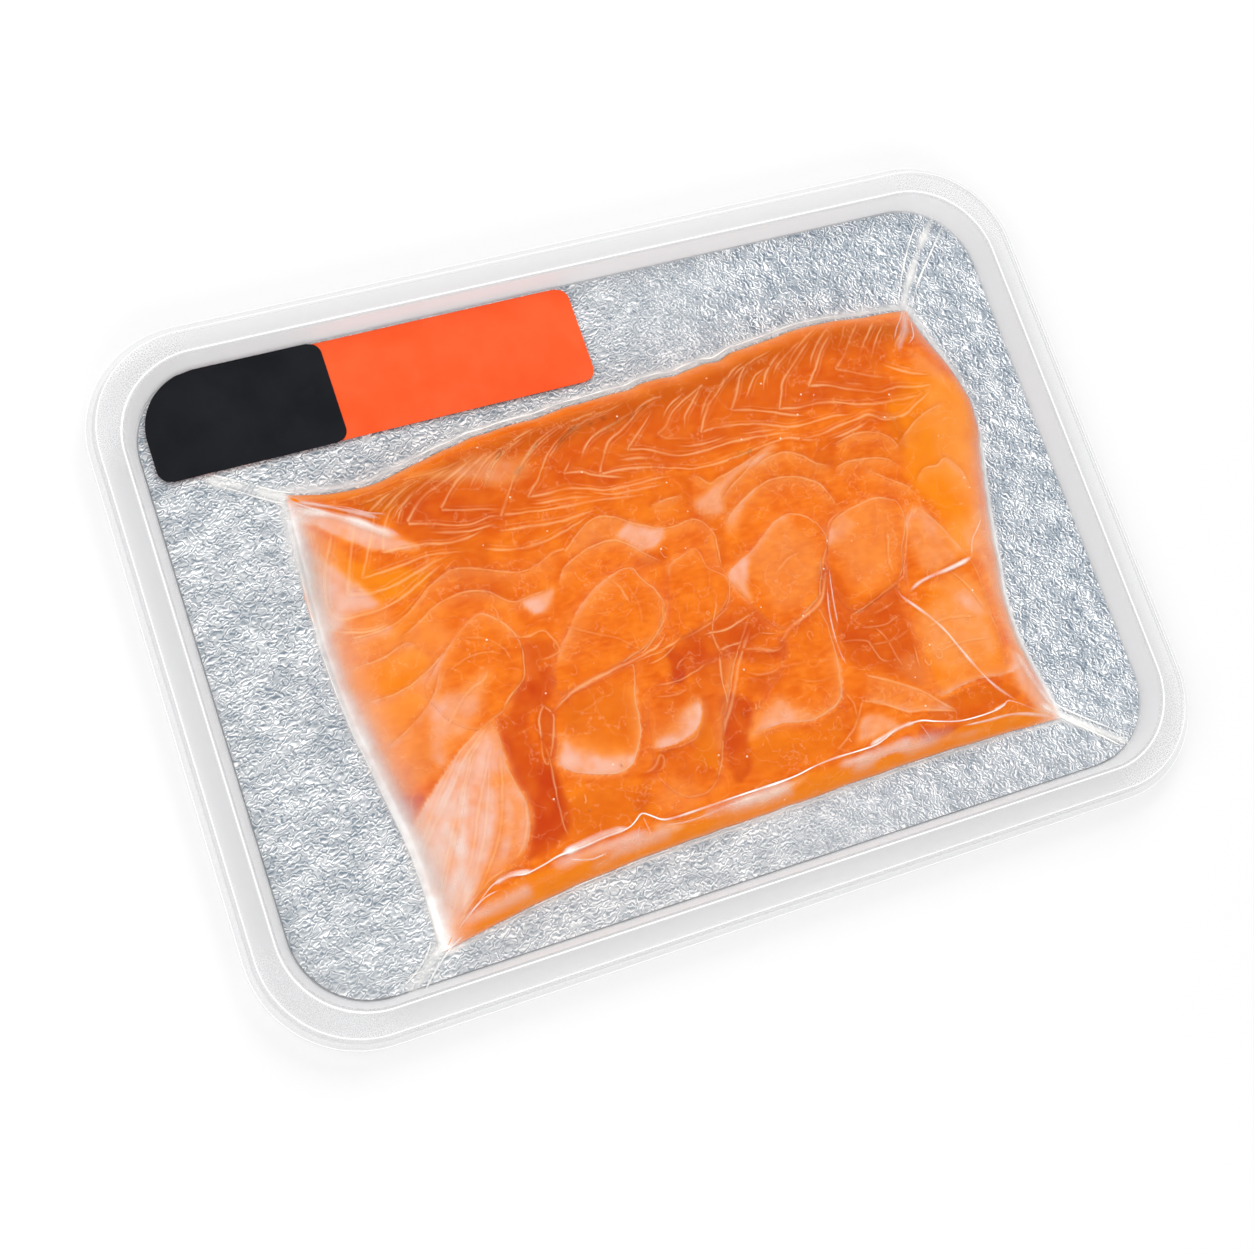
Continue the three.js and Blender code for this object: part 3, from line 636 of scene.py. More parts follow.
def near(curve, reach):
    """The part of the tone map round a curve, as slices of its rows and columns."""
    low, high = np.min(curve, 0) - reach - 1, np.max(curve, 0) + reach + 1
    spans = []
    for axis, places in ((1, TONE_Y), (0, TONE_X)):
        ends = (np.array([low[axis], high[axis]]) - places[0]) / TONE_STEP
        spans.append(slice(*np.clip(ends.astype(int), 0, len(places))))
    return tuple(spans)


def cover(layer, part, amount):
    """Lays an amount over part of a layer: what was bare before is covered by that share."""
    layer[part] = 1 - (1 - layer[part]) * (1 - amount)


def paint_field(layer, amount, soft, outline):
    """Adds a field with a soft edge, half as strong where the border runs."""
    loop = closed_spline(outline, 4 * len(places(outline)))
    part = near(loop, soft)
    x, y = bent_x[part], bent_y[part]
    distance, _ = distance_to(x, y, closed(loop))
    signed = np.where(inside(x, y, loop), distance, -distance)
    cover(layer, part, amount * smooth(signed / soft / 1.5 + 0.5))


def paint_beside(layer, amount, reach, side, curve):
    """Adds colour on one side of a curve: exp(-1.25 d / reach) at the distance d from it, and
    fading out towards its ends."""
    line = spline(curve, 1.0)
    part = near(line, reach * 2)
    x, y = tone_x[part], tone_y[part]
    distance, share = distance_to(x, y, line)
    at = np.clip((share * (len(line) - 1)).astype(int), 0, len(line) - 2)
    way = line[at + 1] - line[at]
    left = way[..., 0] * (y - line[at][..., 1]) - way[..., 1] * (x - line[at][..., 0])
    ends = fade(share, 0, 0.12) * fade(share, 1, 0.88)
    cover(layer, part, amount * ends * np.exp(-1.25 * distance / reach) * (left * side > 0))


tones = {kind: np.zeros(tone_x.shape) for kind in ("pale", "deep", "amber")}
for kind, fields in (("pale", PALE), ("deep", DEEP), ("amber", AMBER)):
    for field in fields:
        paint_field(tones[kind], *field)
for curve in SEAMS:
    paint_beside(tones["pale"], 0.34, 2.0, -1, curve)
    paint_beside(tones["deep"], 0.28, 1.1, 1, curve)
for kind, edges in (("pale", PALE_EDGES), ("deep", DEEP_EDGES)):
    for edge in edges:
        paint_beside(tones[kind], *edge)
print({kind: round(float(layer.mean()), 3) for kind, layer in tones.items()})

# %% [markdown]
# Every mesh of the fish reads the same maps, so a ribbon of fat has exactly the colour of the flesh
# that it lies on. Two more tones follow the outline: a brown crust where the smoke dried the back,
# and a golden edge along both long sides.

# %% Amounts of colour at a point
def flesh_amounts(x, y):
    """The pale, deep, amber and crust amounts of the flesh, with a little unevenness."""
    uneven = 1 + 0.22 * value_noise(x, y, 4, 13) + 0.14 * value_noise(x, y, 1.6, 14)
    amounts = {
        kind: np.clip(read_grid(layer, TONE_X, TONE_Y, x, y) * uneven, 0, 1) for kind, layer in tones.items()
    }
    from_bottom, _ = distance_to(x, y, SIDES[0])
    from_top, _ = distance_to(x, y, SIDES[2])
    crust = fade(from_top, 14, 7) * fade(from_top, 2, 7) * fade(x, -82, -62) * fade(x, 94, 82)
    amounts["crust"] = np.clip(crust * (0.42 + 0.12 * value_noise(x, y, 9, 15)), 0, 1)
    golden = 0.7 * np.maximum(fade(from_top, 4, 1), fade(from_bottom, 5.5, 2.5))
    amounts["amber"] = np.maximum(amounts["amber"], golden)
    return amounts


# %% [markdown]
# ## The back of the fish
# One grid is stretched over the four-sided outline like a net over a frame. The points inside
# follow from the four sides: across, along, and minus the corners that were counted twice. The
# lines of the net crowd towards the outline, where the shoulder is steep.

# %% Make the back
CROWDING = 0.8
BACK_COLUMNS, BACK_ROWS = 341, 233


def crowded(count):
    """Shares from 0 to 1 that lie closer together at both ends: t - c sin(2 pi t) / (2 pi)."""
    t = np.linspace(0, 1, count)
    return t - CROWDING * np.sin(2 * np.pi * t) / (2 * np.pi)


def net(columns, rows, height):
    """Points of a grid inside the fish's outline, blended from its four sides (a Coons patch) and
    raised to height(x, y)."""
    u, v = crowded(columns), crowded(rows)
    bottom, right = outline_point(0, u), outline_point(1, v)
    top, left = outline_point(2, 1 - u), outline_point(3, 1 - v)
    bl, br, tr, tl = FISH_CORNERS
    u, v = u[None, :, None], v[:, None, None]
    sides = (1 - v) * bottom[None] + v * top[None] + (1 - u) * left[:, None] + u * right[:, None]
    corners = (1 - u) * (1 - v) * bl + u * (1 - v) * br + u * v * tr + (1 - u) * v * tl
    flat = sides - corners
    return np.dstack([flat, height(flat[..., 0], flat[..., 1])]).reshape(-1, 3)


points, faces = block(net(BACK_COLUMNS, BACK_ROWS, fish_top), BACK_ROWS, BACK_COLUMNS, BOARD_TOP)
amounts = flesh_amounts(points[:, 0], points[:, 1])
amounts["fat"] = np.zeros(len(points))
salmon_back = make_piece("fish_back", points, faces, "salmon_back", attributes=amounts)

# %% [markdown]
# ## The loose slices
# Each slice is a thin leaf with a smooth closed outline. The slices are laid from the lowest up.

# %% Outlines of the slices in millimetres
# name: (solid it stands for, thickness, strength of its pale rim, direction the rim faces, outline)
SLICES = {
    "slice_end": ("salmon_slice_10", 0.36, 0.5, 40, (70, -2.5, 73.5, -7, 76, -12, 79, -19, 80, -26,
     79.5, -35, 79, -45, 77, -51.2, 70, -50.5, 64, -51, 58, -51.5, 57.5, -44, 57, -35, 58, -28, 60, -21,
     62, -13, 66, -6)),
    "slice_low_middle": ("salmon_slice_9", 0.3, 0.35, 330, (-15, -31, -8, -29, -2, -27.5, 4, -26.5,
     9.3, -26, 6, -32, 3.5, -37, 0, -43, -3, -50, -8, -56.5, -15, -57, -20, -51, -19.5, -45, -18, -37)),
    "flap": ("salmon_slice_8", 0.36, 0.5, 60, (-79, -43.4, -75, -38.6, -68, -33, -62, -28.4, -56.5, -25,
     -54.6, -29, -55, -37, -54, -44, -53.4, -48, -54.6, -54, -58, -58.6, -63, -61.5, -70, -63.8, -75, -66.4,
     -78, -65, -79.6, -58, -80, -50)),
    "slice_low_right": ("salmon_slice_7", 0.38, 0.7, 330, (23.5, -25, 29, -22.8, 34, -20.8, 35.3, -26,
     35, -32, 34.2, -38, 33, -43, 31, -46, 27, -47.4, 22, -48.2, 15, -46.6, 7, -46.8, 9, -42.5, 14, -38,
     19, -34, 22, -29)),
    "slice_low_left": ("salmon_slice_6", 0.38, 0.8, 330, (-39, -27, -35, -25, -28, -23.5, -17.6, -21.5,
     -17.3, -25, -19, -31, -20, -36, -22, -41, -25.6, -45.5, -30, -46.7, -35, -45, -40, -43, -42.5, -39,
     -41.5, -32)),
    "slice_middle": ("salmon_slice_5", 0.32, 0.4, 30, (0, 0, 4, 1.2, 8.5, 2.3, 10, -3, 13.8, -7, 13, -11,
     10, -14.5, 4, -16.8, -3, -18.5, -4, -14, -2.5, -8, -1, -3)),
    "slice_left": ("salmon_slice_4", 0.4, 0.75, 345, (-68, -13, -60, -5.4, -54, -1, -49, 0.6, -44.5, -3,
     -42, -8.5, -42.8, -14, -44.5, -18, -49, -21.6, -53.5, -25, -60, -26.5, -66, -21)),
    "slice_right": ("salmon_slice_3", 0.4, 0.7, 25, (43.5, -5, 46, -1, 50, 1, 56, 2.3, 61, 2.5, 65, 0.5,
     66, -3, 65, -8, 62, -13, 60, -18, 57, -21, 50, -23.5, 44, -25, 40.5, -20, 41, -12)),
    "slice_top_right": ("salmon_slice_2", 0.46, 0.75, 350, (14.5, -6.5, 18, -4.3, 23, -2, 28, 1.5, 32, 3.8,
     37, 4.2, 41, 2, 43.5, -2, 43, -6, 40, -10, 38, -14, 36, -18.5, 34, -20, 29, -22, 23, -24, 19.5, -20,
     17, -15, 15, -10)),
    "slice_top_left": ("salmon_slice_1", 0.46, 0.75, 355, (-34, -14, -30, -9.5, -26, -5, -21, -1.5, -16, 1,
     -12, 2, -9, 1.5, -7, -2.5, -5, -5, -4.3, -10, -6, -13.5, -9, -17, -14, -19.5, -20, -21, -28, -22.7,
     -36, -24.5, -38, -22, -36, -17)),
}
print(len(SLICES), "slices")

# %% [markdown]
# A slice's mesh is a set of rings that shrink from the outline to a point in the middle. The rings
# are close together at the rim, because the eye sees a slice by its thin, pale, rounded edge.

# %% Lay the slices
SLICE_SPOKES = 190
RIM_RINGS = np.concatenate([[1, 0.995, 0.985, 0.97, 0.95], np.linspace(0.92, 0.06, 22)])
SLICE_EDGE, ROUNDING = 0.04, 0.7  # thickness at the very edge, and how far in the full one is reached
SLICE_REST = 0.06  # a slice lies this far above what is under it
HUB_INSET = 9  # stands for the middle of a slice, where its rim no longer shows
LEAST_ROOM = 0.25  # no slice is thinner than this share, however low the fish is there
SLICE_WOBBLES = ((0.35, 5.0), (0.16, 2.0), (0.07, 0.8))  # size and scale of the edge's unevenness
RIM_STRENGTH, RIM_INSET, RIM_WIDTH = 0.68, 0.2, 0.24


def leaf(x, y, edge, thick):
    """How far in from its edge each point of a slice lies, and how thick the slice is there."""
    inset, _ = distance_to(x, y, closed(edge))
    room = np.clip(rise(x, y), LEAST_ROOM, 1)
    return inset, room * mix(SLICE_EDGE, thick, smooth(inset / ROUNDING))


def pale_rim(x, y, middle, inset, rim, facing):
    """The fat amount of a slice: a narrow bell beside its edge and a faint tail behind it, both
    strongest on the side that the rim faces."""
    way = np.arctan2(y - middle[1], x - middle[0]) - math.radians(facing)
    uneven = 0.8 + 0.35 * value_noise(x, y, 3, 9)
    strength = RIM_STRENGTH * rim * mix(0.06, 1, smooth(0.5 + 0.9 * np.cos(way))) * uneven
    return np.clip(strength * (bell(inset, RIM_WIDTH, RIM_INSET) + 0.06 * np.exp(-inset / 1.5)), 0, 1)


def lay_slice(relief, name, solid, thick, rim, facing, outline):
    """A leaf on top of the relief map, and the map with the leaf on it. Going in from the outline
    its thickness grows from almost nothing to the full one within about a millimetre."""
    edge = closed_spline(outline, SLICE_SPOKES)
    for size, scale in SLICE_WOBBLES:
        edge = wobble(edge, size, scale, 7)
    middle = edge.mean(0)
    bed = blur(relief, 0.5, 1) + SLICE_REST
    flat = middle + RIM_RINGS[:, None, None] * (edge - middle)
    x, y = flat[..., 0], flat[..., 1]
    inset, height = leaf(x, y, edge, thick)
    under = read_map(bed, x, y)
    upper, lower = np.dstack([flat, under + height]), np.dstack([flat, under])
    points, faces = ring_body(upper, lower, [(*middle, rings[-1, :, 2].mean()) for rings in (upper, lower)])
    x, y = points[:, 0], points[:, 1]
    inset = np.concatenate([inset.ravel(), inset.ravel(), [HUB_INSET] * 2])
    amounts = flesh_amounts(x, y)
    amounts["fat"] = pale_rim(x, y, middle, inset, rim, facing)
    piece = make_piece(name, points, faces, solid, attributes=amounts)
    covered = inside(map_x, map_y, edge)
    _, height = leaf(map_x[covered], map_y[covered], edge, thick)
    raised = relief.copy()
    raised[covered] = np.maximum(relief[covered], bed[covered] + height)
    return piece, raised


slices = []
for name, facts in SLICES.items():
    piece, relief = lay_slice(relief, name, *facts)
    slices.append(piece)
print("highest slice at", round(float(relief.max()), 2), "mm")

# %% [markdown]
# ## The fat lines
# Salmon muscle is a stack of V-shaped sheets with thin white fat between them, so a cut shows a
# herringbone: steep short arms above the line of the tips, long flat arms below it. Each arm is
# drawn as its own line, and two lines that share a tip meet there.

# %% Lines of fat: tips and arms
FAT_LINES = [
    (-84.5, 27, -87, 20, -87.5, 12, -86, 5),
    (-81.5, 29, -85, 21, -86, 13.5, -85, 7, -80, 4.2, -74, 3.6, -68, 4.6, -63, 7.5, -58, 11),
    (-78, 29.5, -82, 22, -84.2, 14, -83, 8.8, -78, 7.9, -71, 8.3, -65, 10.2, -59, 13, -53, 15.5),
    (-72, 31, -75.5, 23, -79.2, 13.5),
    (-79.2, 13.5, -75, 12.6, -69, 12.6, -62, 14.2, -57, 15.6, -51, 16.4),
    (-66.5, 32, -70, 25, -74.8, 16.2),
    (-74.8, 16.2, -70, 16.4, -64, 16.9, -58, 17.5, -53, 17, -48, 16),
    (-60, 33, -65, 28.5, -68.2, 21),
    (-68.2, 21, -63, 20.8, -57, 20.2, -52, 19.1, -47, 19.2, -42, 20.3),
    (-54, 35.4, -60, 31, -63.5, 25.5),
    (-38, 38.9, -47, 35, -55, 31.5, -60, 26.8),
    (-60, 26.2, -55, 25, -50, 23.2, -45, 22.2, -40, 22.9, -36, 22),
    (-33, 40, -40, 36.7, -46, 33, -51, 28),
    (-51, 27.6, -46, 26.3, -41, 25.2, -36, 23.6),
    (-28, 40.3, -35, 37.8, -40, 34, -43.5, 30),
    (-24, 41, -31, 38.3, -36, 34.5, -40, 29),
    (-12, 41.4, -19, 40.1, -25, 36.6, -31, 31, -34, 27, -37.3, 22.4),
    (-37.3, 22.4, -32, 21.8, -25, 20.9, -18, 20.4, -11, 20, -6, 19.2, 0, 18.5),
    (-5, 41.9, -13, 39.4, -20, 35.5, -25, 29.5, -29.4, 25.2),
    (-29.4, 25.2, -24, 25, -19, 24.9, -14, 23.6, -9, 22, -3, 21.5, 4, 21.6, 9, 21),
    (0, 41.6, -8, 40.5, -15, 38, -20, 34.5, -22, 32),
    (-15.5, 32, -18.5, 28.8),
    (-18.5, 28.8, -14.5, 28.4, -11, 26.6, -7, 25, -3, 23.6),
    (5, 40.8, -1, 38.3, -7, 36.8, -11, 34, -13.5, 30.3),
    (9, 41.4, 5, 39.5, 0, 36.3, -4.5, 34, -7.5, 30, -9.7, 26.3),
    (-9.7, 26.3, -4, 26.1, 3, 25, 9, 23.3, 14, 21.8, 20, 21.4, 27, 21.8, 35, 23),
    (10, 39.8, 6.5, 36.7, 3, 33.8, -0.6, 30.9),
    (-0.6, 30.9, 4, 29.6, 8.5, 27.4, 12, 26, 18, 25.4, 25, 25.9, 32, 25.7, 38, 25.2, 44, 24.2),
    (24.5, 42.6, 18, 39.6, 13.8, 37.1, 11, 34, 8.6, 32.9),
    (8.6, 32.9, 10.5, 31.2, 14, 30.2, 18, 29.2),
    (24, 42.5, 20, 38.4, 17, 35.3, 15.6, 31.3),
    (33, 44.6, 28, 39.9, 24.5, 37.2, 22, 34, 19.6, 30.4),
    (19.6, 30.4, 24, 30.7, 29, 30, 34, 29.1, 39, 27.5, 43, 26, 48, 25.6, 55, 25.9, 62, 25),
    (40, 46.7, 35.5, 42.7, 32.5, 38, 29.7, 34.2),
    (29.7, 34.2, 35, 32.8, 40, 31, 45, 29, 50, 27.4),
    (50, 47.1, 44, 43.3, 41, 39.7, 39.5, 35.9),
    (58, 48.3, 51, 42.6, 46, 38.5, 44.3, 35.1, 42.4, 31.4),
    (42.4, 31.4, 47, 30.4, 53, 30.3, 58, 29.3, 62, 27.8, 68, 26.3, 75, 25.8, 83, 25.2),
    (65, 49, 60, 44.8, 56, 39.7, 52.2, 35.4),
    (52.2, 35.4, 57, 34.4, 62, 32.2, 67, 30.2, 71, 28.9, 76, 29.3, 81, 28, 87, 27.4),
    (74, 50.7, 69, 45.9, 65, 41.2, 61.3, 38.1),
    (61.3, 38.1, 66, 35.9, 70, 34, 75, 32),
    (81, 48.6, 77, 45, 74, 41.5, 70.8, 36.8),
    (73.8, 37.1, 77, 34.3, 81, 32.2, 87, 30),
    (86, 46.2, 83.5, 43.6, 81, 41.3, 79.3, 38.1),
    (24, 21.2, 30, 22.2, 37, 23.2, 42, 23.2, 46, 21.8, 51, 20.2),
    (44.5, 22.2, 50, 22, 56, 22.9, 62, 23.5, 66, 23.8, 69, 21.6, 74, 20.8),
    (52, 20.1, 58, 20.6, 63, 21.6, 66, 22.6),
    (-46, 38.7, -55, 36.5, -62, 33, -67, 29),
    (-44, 38.2, -52, 35.4, -59, 32, -64.6, 27.4),
    (-52, 38.4, -60, 35.9, -66, 33, -70, 30.4),
    (-20, 42.8, -27, 40.7, -33, 37.7, -37.4, 33.4, -38.6, 29.6),
    (-5, 42.5, -13, 41.3, -20, 38.9, -26, 35.5, -30, 31.6, -32.6, 28.6),
    (0, 42.9, -8, 40.9, -14, 38.6, -18.6, 35.4),
    (6, 40.7, 0, 38.8, -6, 37.2, -9.6, 34.6),
    (-3, 40.9, -8, 40.7, -14, 39.6, -17.4, 37.8),
    (4, 43.1, -4, 41.6, -11, 40.5),
    (14, 42.5, 9, 41.7, 5, 40, 1.6, 37.7),
    (20, 42, 15, 39.9, 12.4, 37.9, 10.4, 35.2),
    (29, 42.4, 25, 39.2, 22, 35.8, 20.6, 33),
    (39, 46.6, 34, 44.5, 30, 41.7, 26, 40.4),
    (47, 47.7, 40, 45.7, 35, 43.8, 32, 41),
    (44, 43.4, 39, 41.4, 36, 38.1, 33.4, 35),
    (56, 48.7, 50, 45.4, 46, 42.7, 43.4, 39.9),
    (63, 52, 56, 48.2, 50.4, 43.9, 47.4, 40.1),
    (68, 52.3, 62, 48.6, 57, 44, 54, 39.4),
    (70, 51, 66.6, 46.7, 63, 41.7),
    (79, 50.1, 75, 46.6, 71.4, 42.9, 68, 38.3),
    (61, 34, 65, 32.8, 69, 31.2),
    (-14, 23, -8, 20.6, 0, 20, 6, 19.6),
    (66, 24.4, 69, 22.2, 74, 21.2, 80, 23.6, 86, 26.6),
    (-30, 23.4, -24, 22.8, -18, 22.2, -12, 21),
    (-56, 23, -50, 21.4, -44, 20.6, -38, 21),
    (-40, 19, -33, 18.3, -25, 17.4, -18, 17.6, -12, 18),
    (-45, 16, -37, 13.8, -30, 13.5, -23, 14.8, -15, 17),
    (11, 29, 16, 27.6, 21, 27.4, 27, 27.8),
    (29, 27.4, 35, 26.8, 41, 26),
    (-5, 28.8, 1, 28, 6, 26.6),
]
print(len(FAT_LINES), "fat lines")

# %% [markdown]
# There are other thin pale lines: fibres of the striped slice, fainter edges, and strands between
# slices. A few edges are thick enough to show as pale bands.

# %% Other pale lines: amount and curve
FINE_LINES = [
    (0.55, (-56, -26, -60, -29, -65, -33, -69, -38, -74, -43.4, -79, -49, -81.4, -54)),
    (0.5, (-58, -28, -63, -33, -68, -41, -73, -49, -78, -58, -80, -65)),
    (0.55, (-57, -31, -60, -36, -65, -45, -70, -55, -75, -62, -79, -68)),
    (0.45, (-59, -35, -62, -43, -66, -52, -71, -60, -76, -67)),
    (0.4, (-55.6, -33, -58, -42, -62, -52, -67, -59, -72, -64.6)),
    (0.45, (-66, -32, -71, -37, -76, -43, -81, -50)),
    (0.35, (-61, -31, -65.6, -38, -70, -46, -75, -54, -79, -62)),
    (0.35, (-53.4, -46, -55, -52, -58, -57, -61, -59.6)),
    (0.5, (-78, -70, -73.4, -65.6, -68, -62, -63, -60.4)),
    (0.4, (-45, -33, -44.6, -38, -45.6, -46, -46.4, -54, -46, -58)),
    (0.4, (37, -47.4, 34.6, -50.6, 32, -53.4, 28, -56, 25, -58)),
    (0.3, (33, -43, 34.6, -47, 34, -52)),
    (0.35, (36, -31, 40, -31.6, 44, -33, 45, -36)),
    (0.4, (46.6, -29, 49, -33, 50, -38, 51, -43)),
    (0.35, (45, -36, 46, -38.6, 49, -39.6)),
    (0.3, (56, -36, 55.4, -40, 55, -44)),
    (0.45, (-24, -48.6, -20.4, -47.6, -18, -45.4, -17.4, -46.6, -19, -48.8, -21, -48.6)),
    (0.5, (39.5, -40.5, 45, -43.6, 50, -46.6, 54, -49.5, 57, -53, 60.5, -56.6)),
    (0.5, (37, -47, 43, -50, 48, -53.2, 52, -54, 57, -55.4, 60.5, -56.6)),
    (0.3, (40, -43, 43, -46, 42.6, -48.6, 39, -48)),
    (0.5, (10, -26, 6.4, -31.4, 5, -34.6, 3.4, -37.4, 0.6, -42, -1.6, -46.6, -3.2, -50.4, -6.4, -56)),
    (0.3, (72, -20.5, 76, -27, 78, -34)),
    (0.6, (-42, -9, -42.6, -12, -43.6, -16, -45, -18.4, -48.6, -20.8, -52, -24)),
    (0.35, (-52, -13, -54, -15.4, -58, -17, -62, -20, -66, -24.4)),
    (0.35, (-46, -4, -45.4, 0, -47, 2.6)),
    (0.4, (-43, -7.6, -40, -8, -36, -7.6, -34.6, -9.6, -33.4, -13.4, -36, -14.4, -40, -14.6)),
    (0.8, (-38.4, -25.8, -35, -24.4, -30, -23.6, -25, -22.8, -20, -21.6, -15, -20.3, -11.6, -18.6)),
    (0.6, (-36, -24.9, -31, -24, -26, -23.2, -21, -22.2, -17, -21)),
    (0.45, (-12, -18.8, -8.4, -16, -5.4, -13, -4.2, -10.4)),
    (0.45, (-19, -21.6, -12, -21, -7, -20.4, -3.4, -18.4)),
    (0.35, (-3, -19.4, 4, -17.8, 9.4, -15.8, 13, -13.6)),
    (0.5, (14.6, -6.6, 14, -9, 12.4, -13, 10, -15.4)),
    (0.7, (22.4, -25.6, 26, -23.8, 31, -22, 35.4, -19.6, 36.4, -17, 38.4, -13, 41, -8.6, 43, -5.6)),
    (0.6, (24, -25, 28.6, -23.2, 33, -21.2)),
    (0.45, (10.2, -26, 14, -26.8, 18, -28, 22, -27.8)),
    (0.35, (10, -26, 12.4, -23, 14.6, -20, 17, -17.6)),
    (0.4, (16.6, -22.8, 19.6, -24, 22.6, -24.6)),
    (0.3, (14, -33.6, 17, -32.6, 20, -31.4)),
    (0.4, (41.4, -25.4, 47, -24.2, 52, -22.4, 57, -20.6, 60, -19.2)),
    (0.5, (60, -19, 62, -14.4, 65, -8.6, 66, -5)),
    (0.3, (57.4, -19.6, 57.6, -13.6, 59, -9.6, 60, -6)),
    (0.3, (61, -16, 63, -11.4)),
    (0.45, (67.6, -5.2, 69.4, -3.6, 70.6, -2.2)),
    (0.4, (-16.4, 1, -14, -2, -12.4, -8)),
    (0.3, (-14.6, -14, -14.4, -18.6)),
    (0.3, (2, -9.6, 0.4, -14)),
    (0.35, (44, -2.8, 46, 0, 50, 1.4)),
    (0.35, (82.4, 10, 83.6, 8, 86, 4.4)),
    (0.3, (66.8, 17.6, 67.6, 14, 69, 11)),
    (0.35, (-58, 38, -50, 37.4, -42, 38.6)),
    (0.3, (-70, 34, -62, 35.4, -54, 36.8)),
    (0.3, (-74, 36.6, -66, 37, -58, 38.4)),
    (0.85, (2.4, -19.6, 6, -19.8, 10, -19.8, 14.4, -18.6, 19, -17.4)),
    (0.5, (4, -24.6, 9, -24.2, 13, -24, 18, -23)),
    (0.5, (6, -27, 5.2, -22, 6, -18, 8, -14.6, 9.6, -11)),
    (0.6, (5.4, -25, 3.6, -31, 3, -37, 2.4, -43)),
    (0.45, (-14, -23, -10, -22.6, -7, -21.4, -4, -19.6)),
    (0.4, (-14, -28.4, -9, -29, -4, -28.4, 2, -26.6)),
    (0.35, (-15, -31, -10, -32.2, -5, -31.6)),
    (0.4, (-7.4, -26.4, -5, -24.4, -2.6, -24)),
    (0.3, (-20, -44, -13, -44.6, -8, -43.8, -6, -41.4)),
    (0.3, (-31, -7.6, -24, -12, -19, -14.4, -14, -19)),
    (0.3, (-12, -1, -10.6, -8, -11.6, -14)),
    (0.3, (26, -10, 31, -7, 36, -6)),
    (0.25, (-63, -12, -57, -9.4, -51, -9, -47, -11)),
    (0.3, (-56, -4, -51, -5.6, -47, -9, -45.6, -14)),
    (0.35, (47, -26.6, 52, -26, 56, -24.6)),
    (0.3, (43, -29, 50, -30, 56, -28.4)),
    (0.3, (44, -34, 51, -34.4, 57, -32.6)),
    (0.3, (60, -34, 67, -33, 75, -34.6)),
    (0.3, (61, -41, 68, -40, 77, -41)),
    (0.25, (-36, -30, -31, -29, -26, -27)),
    (0.25, (14, -30, 20, -33, 27, -33.4)),
    (0.25, (22, -37, 27, -39, 33, -39)),
    (0.6, (-42, -25.6, -40.4, -28, -41.2, -31.4, -43.2, -36, -45.4, -39.6, -46, -37.6, -45, -33, -44, -28.4,
     -42, -25.6)),
]
THICK_EDGES = [
    (0.85, (-40.6, -28, -38.3, -26.6, -34.3, -24.5, -28.3, -22.9, -21.3, -21.7, -14.2, -20.4, -9.2, -19.1,
     -6.4, -16.6)),
    (0.6, (-10.3, -20.4, -7.4, -20.2, -3.6, -19, -2.6, -18)),
    (0.6, (20, -27.4, 22.5, -26.3, 25.7, -23.9, 31.1, -22, 35.5, -19.8, 37.9, -16.5, 40.9, -10.4)),
    (0.8, (10, -26, 12, -26.1, 15.3, -26.9, 19.3, -28.5, 21.5, -28.3, 22.6, -27.4)),
    (0.45, (9.6, -31.3, 13, -33.1, 17.4, -33.5, 20.6, -31.4)),
    (0.5, (15.9, -20.6, 12.8, -24.2, 9.4, -28.8, 7.2, -32.6, 4.5, -37.3, 1.2, -41.8, -1.6, -46.4)),
]
print(len(FINE_LINES), "fine lines,", len(THICK_EDGES), "thick edges")

# %% [markdown]
# Each line is a narrow ribbon that lies on the flesh. Its middle is fat and its edges have exactly
# the colours of the flesh, so it melts into the surface however coarse the mesh below is.

# %% Lay the ribbons
RIBBON_ACROSS = np.array([-1, -0.5, -0.2, 0.2, 0.5, 1])
FAT_NARROWNESS = 2.6
MEETING = 0.8  # ends closer together than this belong to lines that meet


def strip(line, half, across):
    """Rows of points across a line: at each of its points, half times across to its left."""
    return line[:, None] + half[:, None, None] * across[None, :, None] * left_of(line)[:, None]


def ribbon(name, curves, width, lift, strengths, fade_length=5.0):
    """Flat ribbons along curves on the relief map. The fat amount falls off as exp(-(2.6 s)^2)
    across them, where s runs from -1 to 1 from edge to edge. A ribbon fades out at an end unless
    another curve starts or stops there."""
    curves = [places(curve) for curve in curves]
    ends = np.array([(curve[0], curve[-1]) for curve in curves]).reshape(-1, 2)
    strips, fat = [], []
    for curve, strength in zip(curves, strengths):
        line = wobble(spline(curve), 0.12, 1.7, 16)
        run = run_length(line)
        length = min(fade_length, run[-1] / 2)
        taper = np.ones(len(line))
        for end, away in ((curve[0], run), (curve[-1], run[-1] - run)):
            if np.sum(np.hypot(*(ends - end).T) < MEETING) < 2:
                taper = taper * smooth(away / length)
        half = width / 2 * (0.4 + 0.6 * taper) * (1 + 0.4 * value_noise(*line.T, 3, 11))
        flat = strip(line, half, RIBBON_ACROSS)
        strips.append(np.dstack([flat, read_map(relief, flat[..., 0], flat[..., 1]) + lift]))
        amount = strength * taper * (0.75 + 0.5 * value_noise(*line.T, 5, 12))
        fat.append(np.outer(amount, bell(FAT_NARROWNESS * RIBBON_ACROSS, 1)).ravel())
    points, faces = strips_mesh(strips)
    amounts = flesh_amounts(points[:, 0], points[:, 1])
    amounts["fat"] = np.clip(np.concatenate(fat), 0, 1)
    return make_piece(name, points, faces, attributes=amounts)


